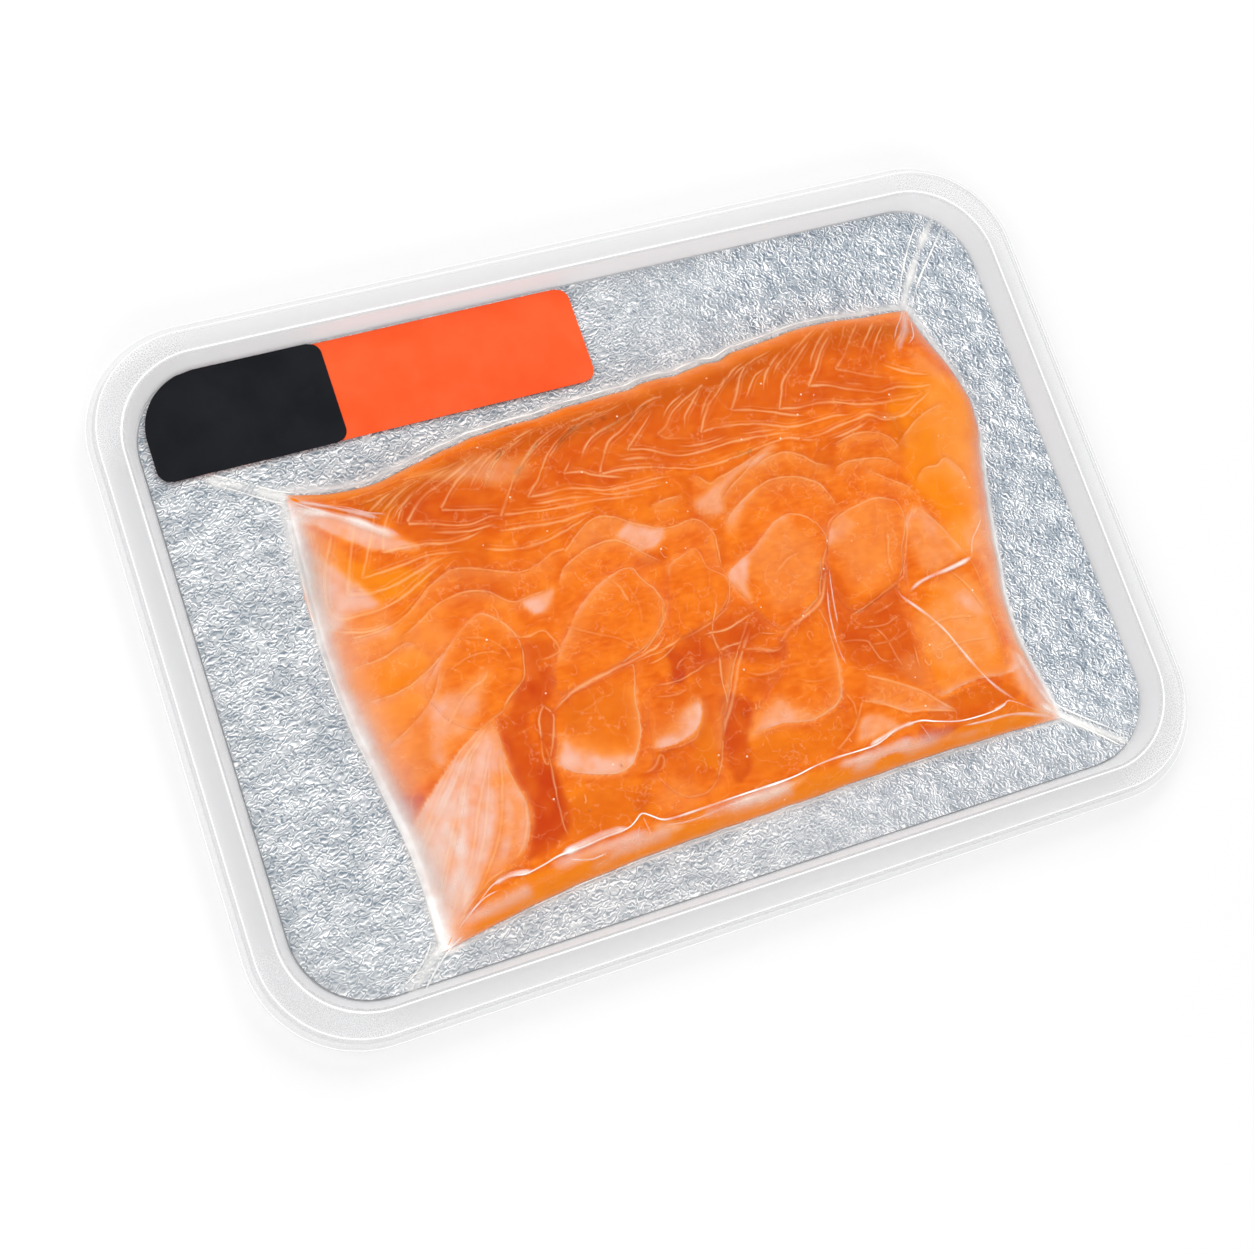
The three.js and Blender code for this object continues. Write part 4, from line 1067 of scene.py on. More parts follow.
fat_lines = ribbon("fat_lines", FAT_LINES, 1.2, 0.06, [0.6] * len(FAT_LINES))
beside = []
for curve in FAT_LINES:
    line = spline(curve, 3.0)
    offset = 0.95 + 0.35 * value_noise(*line.T, 6, 18)
    beside.append(line + offset[:, None] * left_of(line))
faint_lines = ribbon("faint_fat_lines", beside, 0.8, 0.05, [0.2] * len(beside))
seam_lines = ribbon("slice_edges", SEAMS, 0.8, 0.07, [0.42] * len(SEAMS))
strengths, curves = zip(*THICK_EDGES)
thick_edges = ribbon("thick_edges", curves, 1.5, 0.1, strengths)

# %% [markdown]
# The film leaves small open rings and hooks on the flesh, where tiny bubbles were pressed flat.
# Their places and sizes are drawn at random from a fixed seed, so they are the same every time.

# %% Marks of bubbles, and the fine lines
MARKS, MARKS_FROM, MARKS_TO = 64, (-68, -56), (74, 14)
random = np.random.default_rng(71)
marks = []
for x, y in random.uniform(MARKS_FROM, MARKS_TO, (MARKS, 2)):
    around = np.linspace(0, random.uniform(1.2, 6.4), 7) + random.uniform(0, 6)
    size = random.uniform(0.3, 1.0)
    arc = np.stack([x + size * np.cos(around), y + 1.6 * size * np.sin(around)], -1)
    marks.append(arc + random.normal(0, 0.12, (7, 2)))
film_marks = ribbon("film_marks", marks, 0.6, 0.09, random.uniform(0.2, 0.55, MARKS), 0.5)
strengths, curves = zip(*FINE_LINES)
fine_lines = ribbon("fine_fat_lines", curves, 0.95, 0.08, strengths, 3.0)

# %% [markdown]
# ## The skin film
# The film is heated until it is soft and sucked down over the fish, so it follows every slice but
# bridges the narrow hollows between them. Its height is the relief map, blurred so that its hollows
# fill up, and raised by a small gap. Where it bridges a hollow the air behind it looks milky, so the
# gap between film and fish is kept as a haze amount. Outside the fish the film lies on the board,
# climbs the wall of the recess and is sealed to the flange.

# %% Height and haze of the film
FILM_GAP = 0.36
bridged = blur(np.maximum(blur(relief, 1.0), relief), 1.0) + FILM_GAP
gap = np.clip(bridged - FILM_GAP - relief, 0, 2) * on_fish
edge_distance, _ = distance_to(map_x, map_y, closed(OUTLINE))
beyond_edge = np.where(on_fish, -edge_distance, edge_distance)
left_distance, _ = distance_to(map_x, map_y, SIDES[3])
right_distance, right_share = distance_to(map_x, map_y, SIDES[1])
bottom_distance, _ = distance_to(map_x, map_y, SIDES[0])
print("film bridges up to", round(float(gap.max()), 2), "mm")


def film_haze_and_glare(x, y):
    """Milky amount of the film, partly real milk and partly painted light, which stands for glare and
    lightens shaded slopes: strong at the left and right ends of the fish and fading inwards, weaker as a
    skirt round it, in patches along the near side, and a little over a gap."""
    fields = (beyond_edge, left_distance, right_distance, right_share, bottom_distance, gap)
    past, left, right, share, bottom, over = (read_map(field, x, y) for field in fields)
    at_left = (0.5 * bell(left, 2.2) + 0.2 * bell(left, 5.5)) * fade(y, 46, 38)
    at_left = at_left * (1 + 0.15 * fade(y, -38, -46))
    at_right = (0.4 * bell(right, 2.0) + 0.3 * bell(right, 5.0)) * (0.55 + 0.45 * fade(share, 0.8, 0.5))
    skirt = (0.3 + 0.15 * fade(left, 6, 3) * fade(y, -30, -40)) * bell(past, 0.8, 0.8)
    far_line = 0.35 * bell(past, 0.9, 1.9) * fade(y, 20, 30)
    patches = fade(value_noise(x, 2 * y, 8, 23), -0.25, 0.25)
    at_bottom = 0.24 * bell(bottom, 1.6, 3.4) * patches * fade(x, 70, 60) * (past < 0)
    total = np.maximum(at_left, at_right) * fade(past, 1.4, 0) + skirt * fade(past, 2.2, 1)
    total = total + at_bottom + far_line
    wave = 0.9 + 0.2 * value_noise(x, y, 7, 21) + 0.12 * value_noise(x, y, 2, 22)
    return np.clip(wave * total + 0.06 * over, 0, 0.95)


# %% [markdown]
# The mesh of the film is the same net over the fish, and round it a set of rings that run out from
# the fish's outline to the flange. Corner runs to corner, because the real film is pulled into
# folds just there.

# %% Make the film
FILM_COLUMNS, FILM_ROWS = 291, 197
FOOT = 2.2  # width of the slope from the fish's edge down to the board
DRAPE = (0.18, 0.4, 0.65, 1.0)  # shares of that width
BARE = np.linspace(0, 1, 22)[1:] ** 1.1  # shares of the way from the foot to the edge of the board
FILM_START = BOARD_TOP + FISH_EDGE + FILM_GAP
FILM_FOOT, FILM_LOW = BOARD_TOP + 0.14, BOARD_TOP + 0.12
WALL_FOOT = (-7.4, 0.75, FILM_LOW)  # out from the crease, share of the wall's lean, height
WALL_RINGS = [(-6.9, 0.72, 2.9), (-6.75, 0.4, 5.0), (-6.75, 0.1, 7.3), (-6.6, 0, 7.9), (-6.2, 0, 8.12),
              (-5.6, 0, 8.15), (-4.0, 0, 8.14), (-2.4, 0, 8.14), (-1.1, 0, 8.14), (-1.0, 0, 8.04)]


def wall_ring(out, lean, z):
    """A ring of the tray's shape, whose points sit at the same shares of its sides as the net's."""
    ring = tray_ring(out, lean, z)
    quarter = len(ring) // 4
    shares = [crowded(count)[:-1] + side for side, count in enumerate((FILM_COLUMNS, FILM_ROWS) * 2)]
    at = np.concatenate(shares) * quarter
    return np.stack([np.interp(at, np.arange(len(ring) + 1), closed(ring)[:, k]) for k in range(3)], -1)


cover_points = net(FILM_COLUMNS, FILM_ROWS, lambda x, y: np.maximum(read_map(bridged, x, y), FILM_START))
border = grid_border(FILM_ROWS, FILM_COLUMNS)
start, board_edge = cover_points[border], wall_ring(*WALL_FOOT)
towards = (board_edge - start)[:, :2]
towards /= np.hypot(*towards.T)[:, None]
rings = []
for t in DRAPE:
    level = mix(start[:, 2], FILM_FOOT, 1 - (1 - t) ** 2)
    rings.append(np.column_stack([start[:, :2] + towards * FOOT * t, level]))
rings += [mix(rings[-1], board_edge, t) for t in BARE]
rings += [wall_ring(*place) for place in WALL_RINGS]
points = np.vstack([cover_points, *rings])
numbers = np.arange(len(rings) * len(border)).reshape(len(rings), -1) + len(cover_points)
order = np.vstack([border, numbers])[::-1]
faces = [grid_quads(FILM_ROWS, FILM_COLUMNS)]
faces += [band_quads(low, high) for low, high in zip(order[:-1], order[1:])]
haze_and_glare = film_haze_and_glare(points[:, 0], points[:, 1])
haze_and_glare[numbers[len(DRAPE) + len(BARE) - 1 :]] = 0
haze_and_glare = {"haze_and_glare": haze_and_glare}
film = make_piece("film", points, faces, "skin_film", attributes=haze_and_glare, sharp=ALL_SMOOTH)

# %% [markdown]
# Where the film has too much length it closes on itself in narrow pleats. A pleat is milky, because it is
# two layers of film with air between. Each pleat here is a strip with a raised middle, which follows the
# film and fades out towards its sides. A narrow one reads as a line and a wide one as a soft streak. Some
# strips are painted light as well: the bright line along the near ridge, the white lines at the fish's foot
# and the wide soft streaks over the flap stand for the film's highlights and glare.

# %% Pleats of the film: strength, half width, and the line each one follows
PLEATS_AND_GLARE = [
    (1.0, 0.3, (-79.5, -72, -75, -68.6, -70, -64.8, -67, -63, -62.6, -62.4, -59, -63, -54, -62.2,
     -50, -61.3, -44, -61, -38, -60.4, -32, -60, -29.6, -59, -27.3, -57.6, -25, -59, -23, -60.4, -20, -60.9,
     -12, -60.8, -2, -60.5, 8, -60.4, 14, -60, 19, -59.2, 25, -58.8, 35, -58.8, 39, -58, 43, -56.6,
     49.5, -56.2, 54, -57.6, 60, -59.2, 66, -59.6, 71, -59.4, 73.6, -58.8, 75.2, -58, 79, -59.8, 84, -62.6,
     89, -65)),
    (0.7, 0.8, (-67.4, -63.2, -63, -62.2, -57, -62.8)),
    (0.75, 1.2, (-50, -61.2, -43, -60.3, -38, -59.7, -31, -59.8)),
    (0.75, 0.9, (34, -58.6, 40, -57.2, 44, -56.3, 49, -56.2)),
    (0.6, 0.55, (70, -59.4, 72.6, -58.9, 74.6, -58.4)),
    (0.35, 0.28, (-24, -61.6, -18, -62.6, -12, -62.6, -5, -62, 4, -61.8)),
    (0.45, 0.28, (-48, -62.8, -45, -63.8, -42, -64.4, -38, -64)),
    (0.2, 0.25, (-27.3, -58.4, -27, -60.6, -26.5, -63)),
    (0.2, 0.25, (-28.6, -60, -29.6, -61.6, -30.4, -63.4)),
    (0.2, 0.25, (49.4, -56.8, 50.4, -59, 51.6, -61.6)),
    (0.2, 0.22, (-66, -64.6, -64.6, -66, -65.4, -67.4)),
    (0.25, 1.8, (-54, -63.4, -40, -62.6, -26, -62)),
    (0.35, 1.6, (-14, -62.6, 0, -62, 14, -61.6)),
    (0.3, 1.6, (24, -61, 36, -60.6, 48, -60)),
    (1.0, 0.35, (91.9, 50.6, 97.6, 58.6, 104.8, 66.4, 112, 74)),
    (0.95, 0.35, (88.8, 52.4, 93.6, 61.4, 99.6, 70.4, 106, 78)),
    (0.6, 1.7, (88, 49, 95.4, 60, 102.2, 68.6, 110, 77)),
    (0.35, 1.4, (91, 52, 88, 48.6, 85.4, 44.6, 82.4, 41.4, 80, 38)),
    (0.5, 0.25, (92, 50, 89.6, 47, 87.4, 42.6, 84, 40)),
    (0.45, 0.25, (90, 52, 86.6, 48.6, 83.4, 45.6, 80.6, 42)),
    (0.7, 0.3, (-80.6, 42.6, -86, 44.6, -92, 48, -98, 51.4, -103, 54)),
    (0.6, 0.3, (-84, 40.4, -90, 43.6, -96, 47.4, -103, 51.4)),
    (0.55, 1.5, (-83, 41.4, -90, 45.4, -97, 49.4, -104, 53)),
    (0.4, 0.3, (-85, 41.6, -80.6, 37, -76, 33, -71, 29.6, -66, 25.4)),
    (0.5, 1.3, (-86, 39.4, -80, 35.6, -74, 31.6, -68, 27, -62, 23)),
    (0.4, 0.7, (-84, 40.8, -79, 37.6, -73, 33.4, -66, 29)),
    (0.35, 0.25, (-88, 38.6, -84.4, 36, -82, 36.8, -83, 38.4, -87, 39.6)),
    (0.25, 0.25, (-80, 38, -74, 35, -69, 31.6, -64, 29.8)),
    (0.9, 0.35, (-76, -71.6, -80, -73.6, -84.6, -77, -89.6, -81.8)),
    (0.7, 0.3, (-83.6, -70, -86.6, -74, -91, -77.4, -95, -79.4)),
    (0.6, 1.8, (-79, -70, -84, -74, -89, -78.2, -94, -82)),
    (0.2, 1.2, (-84.4, -50, -83.6, -60, -82.6, -68, -84, -72, -88, -76)),
    (0.5, 0.3, (-78, -70.6, -74, -67.6, -70, -65.4, -66, -64.6)),
    (1.0, 0.38, (84, -60.6, 88.6, -64, 93, -67.4, 99, -72.6, 106, -79)),
    (0.95, 0.35, (87, -58, 91.4, -62.6, 96, -66.6, 101.6, -71, 109, -77)),
    (0.65, 1.7, (84, -60.6, 91, -65.4, 97.6, -70.4, 108, -78.4)),
    (0.45, 0.5, (60, -60.6, 68, -61.2, 76, -61.6, 84, -63.6, 90, -66)),
    (0.35, 1.2, (82, -46, 84, -52, 86.6, -58, 89.6, -63)),
    (0.6, 0.7, (59.4, -24, 62, -22.6, 66, -21.6, 72, -21, 77, -20.2, 80, -19.4)),
    (0.22, 0.3, (79.8, -19.4, 81.6, -15.4, 84, -13, 87, -10)),
    (0.2, 2.0, (-76, -44, -73, -50, -72.6, -57, -74.6, -64, -78, -69)),
    (0.22, 1.8, (-66, -36, -68.6, -44, -71.6, -52, -75.6, -60, -79, -67)),
    (0.2, 1.8, (-60, -38, -62.6, -46, -66.4, -54, -71.4, -61, -76, -66.6)),
    (0.16, 1.5, (-57.4, -44, -59.4, -51, -63, -57, -68, -61.6)),
    (0.18, 1.8, (-62, -31, -67, -35.4, -72, -40.6, -76.6, -46)),
    (0.18, 2.2, (-69, -40, -73, -46, -77, -54, -79.6, -62)),
    (0.42, 0.45, (56.6, -20.6, 57, -24, 59, -27, 62.4, -31.6, 65, -36, 67, -41, 69.4, -47, 72, -52, 75, -56,
     79, -59.6)),
    (0.3, 0.25, (40.8, -12, 39.6, -17, 38.6, -22, 37.8, -27)),
    (0.3, 0.25, (38.8, -16, 37, -22, 36, -28, 35.8, -34, 36.4, -38)),
]
# pleats along a side of the fish, which also paint bright lines at its foot: side, how far outside it,
# strength, half width, from share, to share
SIDE_PLEATS_AND_GLARE = [(0, 0.3, 0.8, 0.17, 0.03, 0.98), (0, 1.1, 0.45, 0.15, 0.1, 0.9),
               (3, 0.9, 0.6, 0.17, 0.05, 0.97), (1, 0.8, 0.6, 0.17, 0.04, 0.75),
               (2, 1.6, 0.85, 0.3, 0.03, 0.96), (2, 0.3, 0.35, 0.5, 0.05, 0.95)]
for side, out, strength, half, start, stop in SIDE_PLEATS_AND_GLARE:
    edge = outline_point(side, np.linspace(start, stop, 60))
    PLEATS_AND_GLARE.append((strength, half, edge - out * left_of(edge)))
print(len(PLEATS_AND_GLARE), "pleats_and_glare")

# %% [markdown]
# A strip's height across is a parabola, 1 - s^2, and so is its milkiness, raised to a power that
# makes wide pleats softer than narrow ones.

# %% Make the pleats
PLEAT_ACROSS = np.array([-1, -0.7, -0.35, 0, 0.35, 0.7, 1])
PLEAT_LIFT = 0.05
NARROW, MOST_CREST = 0.35, 0.4  # half widths up to which a pleat is narrow, and its crest still grows


def film_level(x, y):
    """Height of the film above a point on or beside the fish."""
    away = np.where(inside(x, y, OUTLINE), 0, read_map(edge_distance, x, y))
    drop = mix(FILM_START, FILM_LOW, 1 - (1 - np.clip(away / FOOT, 0, 1)) ** 2)
    return np.where(away > 0, drop, read_map(bridged, x, y))


strips, milk_and_glare = [], []
for strength, half, curve in PLEATS_AND_GLARE:
    line = spline(curve, 0.7)
    along = np.linspace(0, 1, len(line))
    taper = fade(along, 0, 0.15) * fade(along, 1, 0.85)
    size = half * (0.3 + 0.7 * taper) * (1 + 0.35 * value_noise(*line.T, 5, 31))
    flat = strip(line, size, PLEAT_ACROSS)
    crest = np.outer(np.minimum(size, MOST_CREST) / 2, 1 - PLEAT_ACROSS**2)
    strips.append(np.dstack([flat, film_level(flat[..., 0], flat[..., 1]) + PLEAT_LIFT + crest]))
    amount = strength * taper * (0.75 + 0.5 * value_noise(*line.T, 4, 32))
    milk_and_glare.append(np.outer(amount, (1 - PLEAT_ACROSS**2) ** (1.0 if half < NARROW else 1.6)).ravel())
points, faces = strips_mesh(strips)
milk_and_glare = np.clip(np.concatenate(milk_and_glare), 0, 1)
pleats_and_glare = make_piece("film_pleats_and_glare", points, faces, attributes={"haze_and_glare": milk_and_glare})

# %% [markdown]
# ## The tray
# A sheet of clear plastic is drawn down into a mould, so its wall is thin and every bend is round.
# One profile runs from the rim over the step, the flange and the wall of the recess to the floor, and back
# underneath. It is carried round a rounded rectangle. The bends of a clear sheet catch the light as thin
# white lines with a dark one beside them, and the board's edge throws shade at the foot of the wall. These
# lines are painted on, so the profile also says how much painted highlight and painted shade lies on the
# plastic there, and how cloudy it looks.

# %% Profile of the tray
# each entry: how far out from the crease, share of the wall's lean, height, painted highlight, painted
# shade, cloudiness
UPPER = [
    (2.6, 0, 4.75, 0, 0.6, 0),
    (2.6, 0, 4.98, 0.8, 0, 0),
    (2.4, 0, 5.05, 0.8, 0, 0),
    (2.2, 0, 5.1, 0, 0.1, 0),
    (1.25, 0, 5.27, 0.1, 0, 0),
    (1.0, 0, 5.45, 0.05, 0, 0.1),
    (0.85, 0, 5.8, 0, 0.2, 0.2),
    (0.3, 0, 7.45, 0, 0.1, 0.2),
    (0.16, 0, 7.78, 0, 0, 0.2),
    (0.05, 0, 7.88, 0.8, 0, 0),
    (-0.1, 0, 7.95, 0.8, 0, 0),
    (-0.28, 0, 8.0, 0, 0, 0),
    (-2.4, 0, 8.0, 0, 0, 0),
    (-4.2, 0, 8.0, 0, 0, 0),
    (-5.2, 0, 8.0, 0, 0, 0),
    (-5.4, 0, 8.0, 0.9, 0, 0),
    (-5.55, 0, 8.0, 0.9, 0, 0),
    (-5.75, 0, 7.99, 0, 0.1, 0),
    (-6.0, 0, 7.96, 0, 0.25, 0.2),
    (-6.26, 0, 7.75, 0, 0.1, 0.6),
    (-6.3, 0, 7.4, 0, 0, 0.75),
    (-6.3, 0.2, 6.3, 0, 0, 0.75),
    (-6.3, 0.5, 4.2, 0, 0, 0.75),
    (-6.3, 0.86, 1.8, 0, 0, 0.75),
    (-6.3, 0.9, 1.5, 0.5, 0, 0.9),
    (-6.35, 0.94, 1.25, 0.5, 0, 0.9),
    (-6.42, 0.96, 1.1, 0, 0.4, 0.3),
    (-6.6, 1, 0.9, 0, 0.7, 0),
    (-7.2, 1, 0.8, 0, 0, 0),
]
LOWER = [
    (2.6, 0, 4.6),
    (2.45, 0, 4.5),
    (0.9, 0, 4.72),
    (0.5, 0, 4.85),
    (0.3, 0, 5.2),
    (-0.25, 0, 6.9),
    (-0.5, 0, 7.25),
    (-0.9, 0, 7.4),
    (-5.3, 0, 7.4),
    (-5.6, 0, 7.25),
    (-5.7, 0, 6.9),
    (-5.7, 0.5, 3.6),
    (-5.7, 0.96, 0.5),
    (-5.9, 1, 0.12),
    (-6.4, 1, 0),
]
print("profile:", len(UPPER), "places above and", len(LOWER), "below")

# %% [markdown]
# The profile's rings form a closed body, as the slices do. Small patches on the corners of the
# flange are frosted, and their amount comes from how far a point lies out from the middle.

# %% Make the tray
FROST_X, FROST_Y, FROST_Z = 97, 61, 7.5  # the frosted patches lie outside and above these


def shell(profile):
    """Rings of a profile, from the rim inwards."""
    return [tray_ring(out, lean, z, arc=18, straight=30) for out, lean, z, *_ in profile]


upper, lower = shell(UPPER), shell(LOWER)
points, faces = ring_body(upper, lower, [(0, 0, FLOOR), (0, 0, 0)])
count = len(upper[0])
past_x, past_y = np.abs(points[:, 0]) - FROST_X, np.abs(points[:, 1]) - FROST_Y
amounts = {"frost": fade(points[:, 2], FROST_Z, 7.8) * smooth(np.minimum(past_x, past_y) / 3)}
for k, kind in enumerate(("highlight_line", "shade_line", "cloudy"), 3):
    amounts[kind] = np.zeros(len(points))
    amounts[kind][: len(upper) * count] = np.repeat([entry[k] for entry in UPPER], count)
tray = make_piece("clear_tray", points, faces, "tray", attributes=amounts, sharp=ALL_SMOOTH)

# %% [markdown]
# ## The foil-faced board
# The board is card with metal foil on it. The foil is crinkled all over by the heat of sealing, in
# creases about a millimetre across. The rows of the grid run from end to end of the board and are
# shorter near its rounded corners. A low relief carries the wider dents, and the material adds the
# fine creases.

# %% Make the board
BOARD_X, BOARD_Y, BOARD_RADIUS = 115.7, 80.15, 19.8  # half length, half width, corner radius
BOARD_COLUMNS, BOARD_ROWS = 301, 211
BOARD_SINK = 0.06
rows = np.linspace(-BOARD_Y, BOARD_Y, BOARD_ROWS)
past = np.maximum(np.abs(rows) - (BOARD_Y - BOARD_RADIUS), 0)
half_width = BOARD_X - BOARD_RADIUS + np.sqrt(np.maximum(BOARD_RADIUS**2 - past**2, 0))
x = half_width[:, None] * np.linspace(-1, 1, BOARD_COLUMNS)[None]
y = np.repeat(rows[:, None], BOARD_COLUMNS, 1)
edge = np.minimum(half_width[:, None] - np.abs(x), BOARD_Y - np.abs(y))
dents = 0.05 * value_noise(x, y, 3.1, 41) + 0.05 * value_noise(x + y, y - x, 2.2, 42)
dents = dents + 0.03 * value_noise(x, y, 1.1, 43)
z = BOARD_TOP - BOARD_SINK + dents * smooth(edge / 1.5)
points, faces = block(np.stack([x, y, z], -1).reshape(-1, 3), BOARD_ROWS, BOARD_COLUMNS, FLOOR + 0.02)
board = make_piece("foil_face", points, faces, "foil_board")

# %% [markdown]
# ## The label
# Two thin pieces of printed film, one over the end of the other. They are stuck on the tight film
# and dip and swell with it a little. Both fields are left bare.

# %% Make the label
LABEL_THICKNESS = 0.2
LABEL_COLUMNS = 121
NEAR_END, FAR_END = 6, 16  # the rows crowd within these distances of the two long edges
WAVES = ((0.07, 9, 51), (0.04, 3.5, 52))  # height, distance between them, seed


def label_sheet(name, node, left, right, bottom, top, radii, level):
    """A thin rounded sheet: rows of points whose ends follow the rounded corners, on shallow
    waves. It bends up along its far edge, and its near edge lifts a little near the left corner."""
    rows = np.concatenate([np.linspace(bottom, bottom + NEAR_END, 14),
                           np.linspace(bottom + NEAR_END, top - FAR_END, 8)[1:],
                           np.linspace(top - FAR_END, top, 26)[1:]])

    def pull(radius, from_edge):
        arc = radius - np.sqrt(np.maximum(radius**2 - (radius - from_edge) ** 2, 0))
        return np.where(from_edge < radius, arc, 0)

    lower_left, lower_right, upper_right, upper_left = radii
    start = left + pull(lower_left, rows - bottom) + pull(upper_left, top - rows)
    stop = right - pull(lower_right, rows - bottom) - pull(upper_right, top - rows)
    x = start[:, None] + (stop - start)[:, None] * np.linspace(0, 1, LABEL_COLUMNS)
    y = np.repeat(rows[:, None], LABEL_COLUMNS, 1)
    wave = sum(height * value_noise(x, y, scale, seed) for height, scale, seed in WAVES)
    z = level + wave + 0.25 * fade(y, 76.5, 80.5) + 0.3 * bell(x, 3, -101) * bell(y, 4, 53)
    low = np.stack([x, y, z], -1).reshape(-1, 3)
    count, border = len(low), grid_border(len(rows), LABEL_COLUMNS)
    quads = grid_quads(len(rows), LABEL_COLUMNS)
    faces = [quads, quads[:, ::-1] + count, band_quads(border + count, border)]
    return make_piece(name, np.vstack([low + (0, 0, LABEL_THICKNESS), low]), faces, node)


strip_radii, panel_radii = (3.2, 3.4, 3.4, 15.8), (3.4, 3.2, 3.2, 15.4)
orange_label = label_sheet("orange_label", "label_strip", -112.7, 1.0, 53.4, 79.6, strip_radii, 2.62)
black_label = label_sheet("black_label", "label_panel", -113.1, -65.6, 53.1, 79.9, panel_radii, 2.84)

# %% [markdown]
# ## Materials
# A material is a small network of nodes. Writing each node out takes many lines, so a recipe keeps
# short names for the few kinds that the whole pack needs: mixing, noise, a ramp and a clear sheet.

# %% Helpers for node materials
class Recipe:
    """A new material with its nodes, and short names for adding to them."""

    def __init__(self, name):
        self.material = bpy.data.materials.new(name)
        self.material.use_nodes = True
        self.nodes, self.links = self.material.node_tree.nodes, self.material.node_tree.links
        self.nodes.clear()
        self.output = self.nodes.new("ShaderNodeOutputMaterial")

    def add(self, kind, values={}, **settings):
        """A node with its settings, whose inputs take either plain values or other sockets."""
        node = self.nodes.new("ShaderNode" + kind)
        for key, value in settings.items():
            setattr(node, key, value)
        for key, value in values.items():
            if isinstance(value, bpy.types.NodeSocket):
                self.links.new(value, node.inputs[key])
            else:
                node.inputs[key].default_value = value
        return node

    def get(self, kind, values={}, **settings):
        """The first output of a new node."""
        return self.add(kind, values, **settings).outputs[0]

    def amount(self, name):
        """A named amount that was kept on the points."""
        return self.add("Attribute", attribute_name=name).outputs["Fac"]

    def math(self, operation, a, b=0.0, clamp=False):
        return self.get("Math", {0: a, 1: b}, operation=operation, use_clamp=clamp)

    def mix(self, share, a, b):
        """Colour a where the share is 0 and colour b where it is 1."""
        node = self.add("Mix", {0: share}, data_type="RGBA")
        for socket, value in ((node.inputs[6], a), (node.inputs[7], b)):
            if isinstance(value, bpy.types.NodeSocket):
                self.links.new(value, socket)
            else:
                socket.default_value = (*value, 1)
        return node.outputs[2]

    def tint(self, base, share, strength, colour):
        """The base, covered with a colour by a share times a strength."""
        return self.mix(self.math("MULTIPLY", share, strength), base, colour)

    def noise(self, scale, detail=3, stretch=(1, 1, 1)):
        """Noise in the object's own coordinates; scale is in features a metre."""
        place = self.add("TexCoord").outputs["Object"]
        place = self.get("Mapping", {"Vector": place, "Scale": stretch})
        return self.add("TexNoise", {"Vector": place, "Scale": scale, "Detail": detail}).outputs["Fac"]

    def ramp(self, value, low, high, to_low=0.0, to_high=1.0):
        """to_low below low, to_high above high, and in proportion between them."""
        limits = {"From Min": low, "From Max": high, "To Min": to_low, "To Max": to_high}
        return self.get("MapRange", {"Value": value, **limits})

    def blend(self, share, a, b):
        """Shader a where the share is 0 and shader b where it is 1."""
        return self.get("MixShader", {0: share, 1: a, 2: b})

    def clear_sheet(self, colour, roughness, straight_on, grazing):
        """Clear plastic, which lets all light through except a mirrored share. The share is
        straight_on, and grows to grazing with the fifth power of how edge-on the sheet is seen."""
        edge_on = self.add("LayerWeight", {"Blend": 0.5}).outputs["Facing"]
        growth = self.math("MULTIPLY", self.math("POWER", edge_on, 5.0), grazing - straight_on)
        mirrored = self.math("ADD", growth, straight_on)
        through = self.get("BsdfTransparent", {"Color": (*colour, 1)})
        gloss = self.get("BsdfGlossy", {"Color": (1, 1, 1, 1), "Roughness": roughness})
        return self.blend(mirrored, through, gloss)

    def finish(self, shader, *pieces):
        """The shader is the material's surface, and the pieces wear the material."""
        self.links.new(shader, self.output.inputs["Surface"])
        for piece in pieces:
            piece.data.materials.clear()
            piece.data.materials.append(self.material)
        print(f"{self.material.name}: {len(self.nodes)} nodes, on {len(pieces)} pieces")


def srgb(r, g, b):
    """A colour as seen on a screen, 0 to 255, in the linear values that shaders use."""
    return tuple(c / 3294.6 if c <= 10.31 else ((c / 255 + 0.055) / 1.055) ** 2.4 for c in (r, g, b))


# %% [markdown]
# Salmon flesh is moist, but its gloss is mostly that of the film over it, so the flesh has only a weak and
# uneven shine of its own. Its colour starts as two oranges in soft clouds, with lighter and darker mottles
# and fine fibres. The amounts on its points then lay amber, brown crust, deep red, the pale tones and the
# fat over that, one after the other. Thin pale wisps run through it, and a few tiny painted glints sit on
# it.

# %% Flesh
FLESH = {"cloud low": (230, 97, 5), "cloud high": (246, 123, 19), "light mottle": (254, 144, 34),
         "dark mottle": (224, 88, 6), "fibre": (252, 144, 46), "amber": (250, 140, 12),
         "crust": (160, 56, 0), "deep": (202, 62, 4), "pale low": (255, 178, 104),
         "pale high": (246, 192, 168),
         "wisp": (255, 200, 150), "fat": (254, 198, 138), "painted_glint": (255, 222, 190)}
FLESH = {name: srgb(*colour) for name, colour in FLESH.items()}

flesh = Recipe("salmon flesh")
fibre, cloud, mottle = flesh.noise(900, 4, (0.35, 1, 1)), flesh.noise(120, 3), flesh.noise(340, 4)
base = flesh.mix(flesh.ramp(cloud, 0.3, 0.7), FLESH["cloud low"], FLESH["cloud high"])
base = flesh.tint(base, flesh.ramp(mottle, 0.52, 0.7), 0.35, FLESH["light mottle"])
base = flesh.tint(base, flesh.ramp(mottle, 0.48, 0.3), 0.4, FLESH["dark mottle"])
base = flesh.tint(base, flesh.ramp(fibre, 0.42, 0.7), 0.4, FLESH["fibre"])
for name in ("amber", "crust", "deep"):
    base = flesh.mix(flesh.amount(name), base, FLESH[name])
pale = flesh.math("MULTIPLY", flesh.amount("pale"), 1.08, True)
pale_colour = flesh.mix(flesh.ramp(pale, 0.3, 0.75), FLESH["pale low"], FLESH["pale high"])
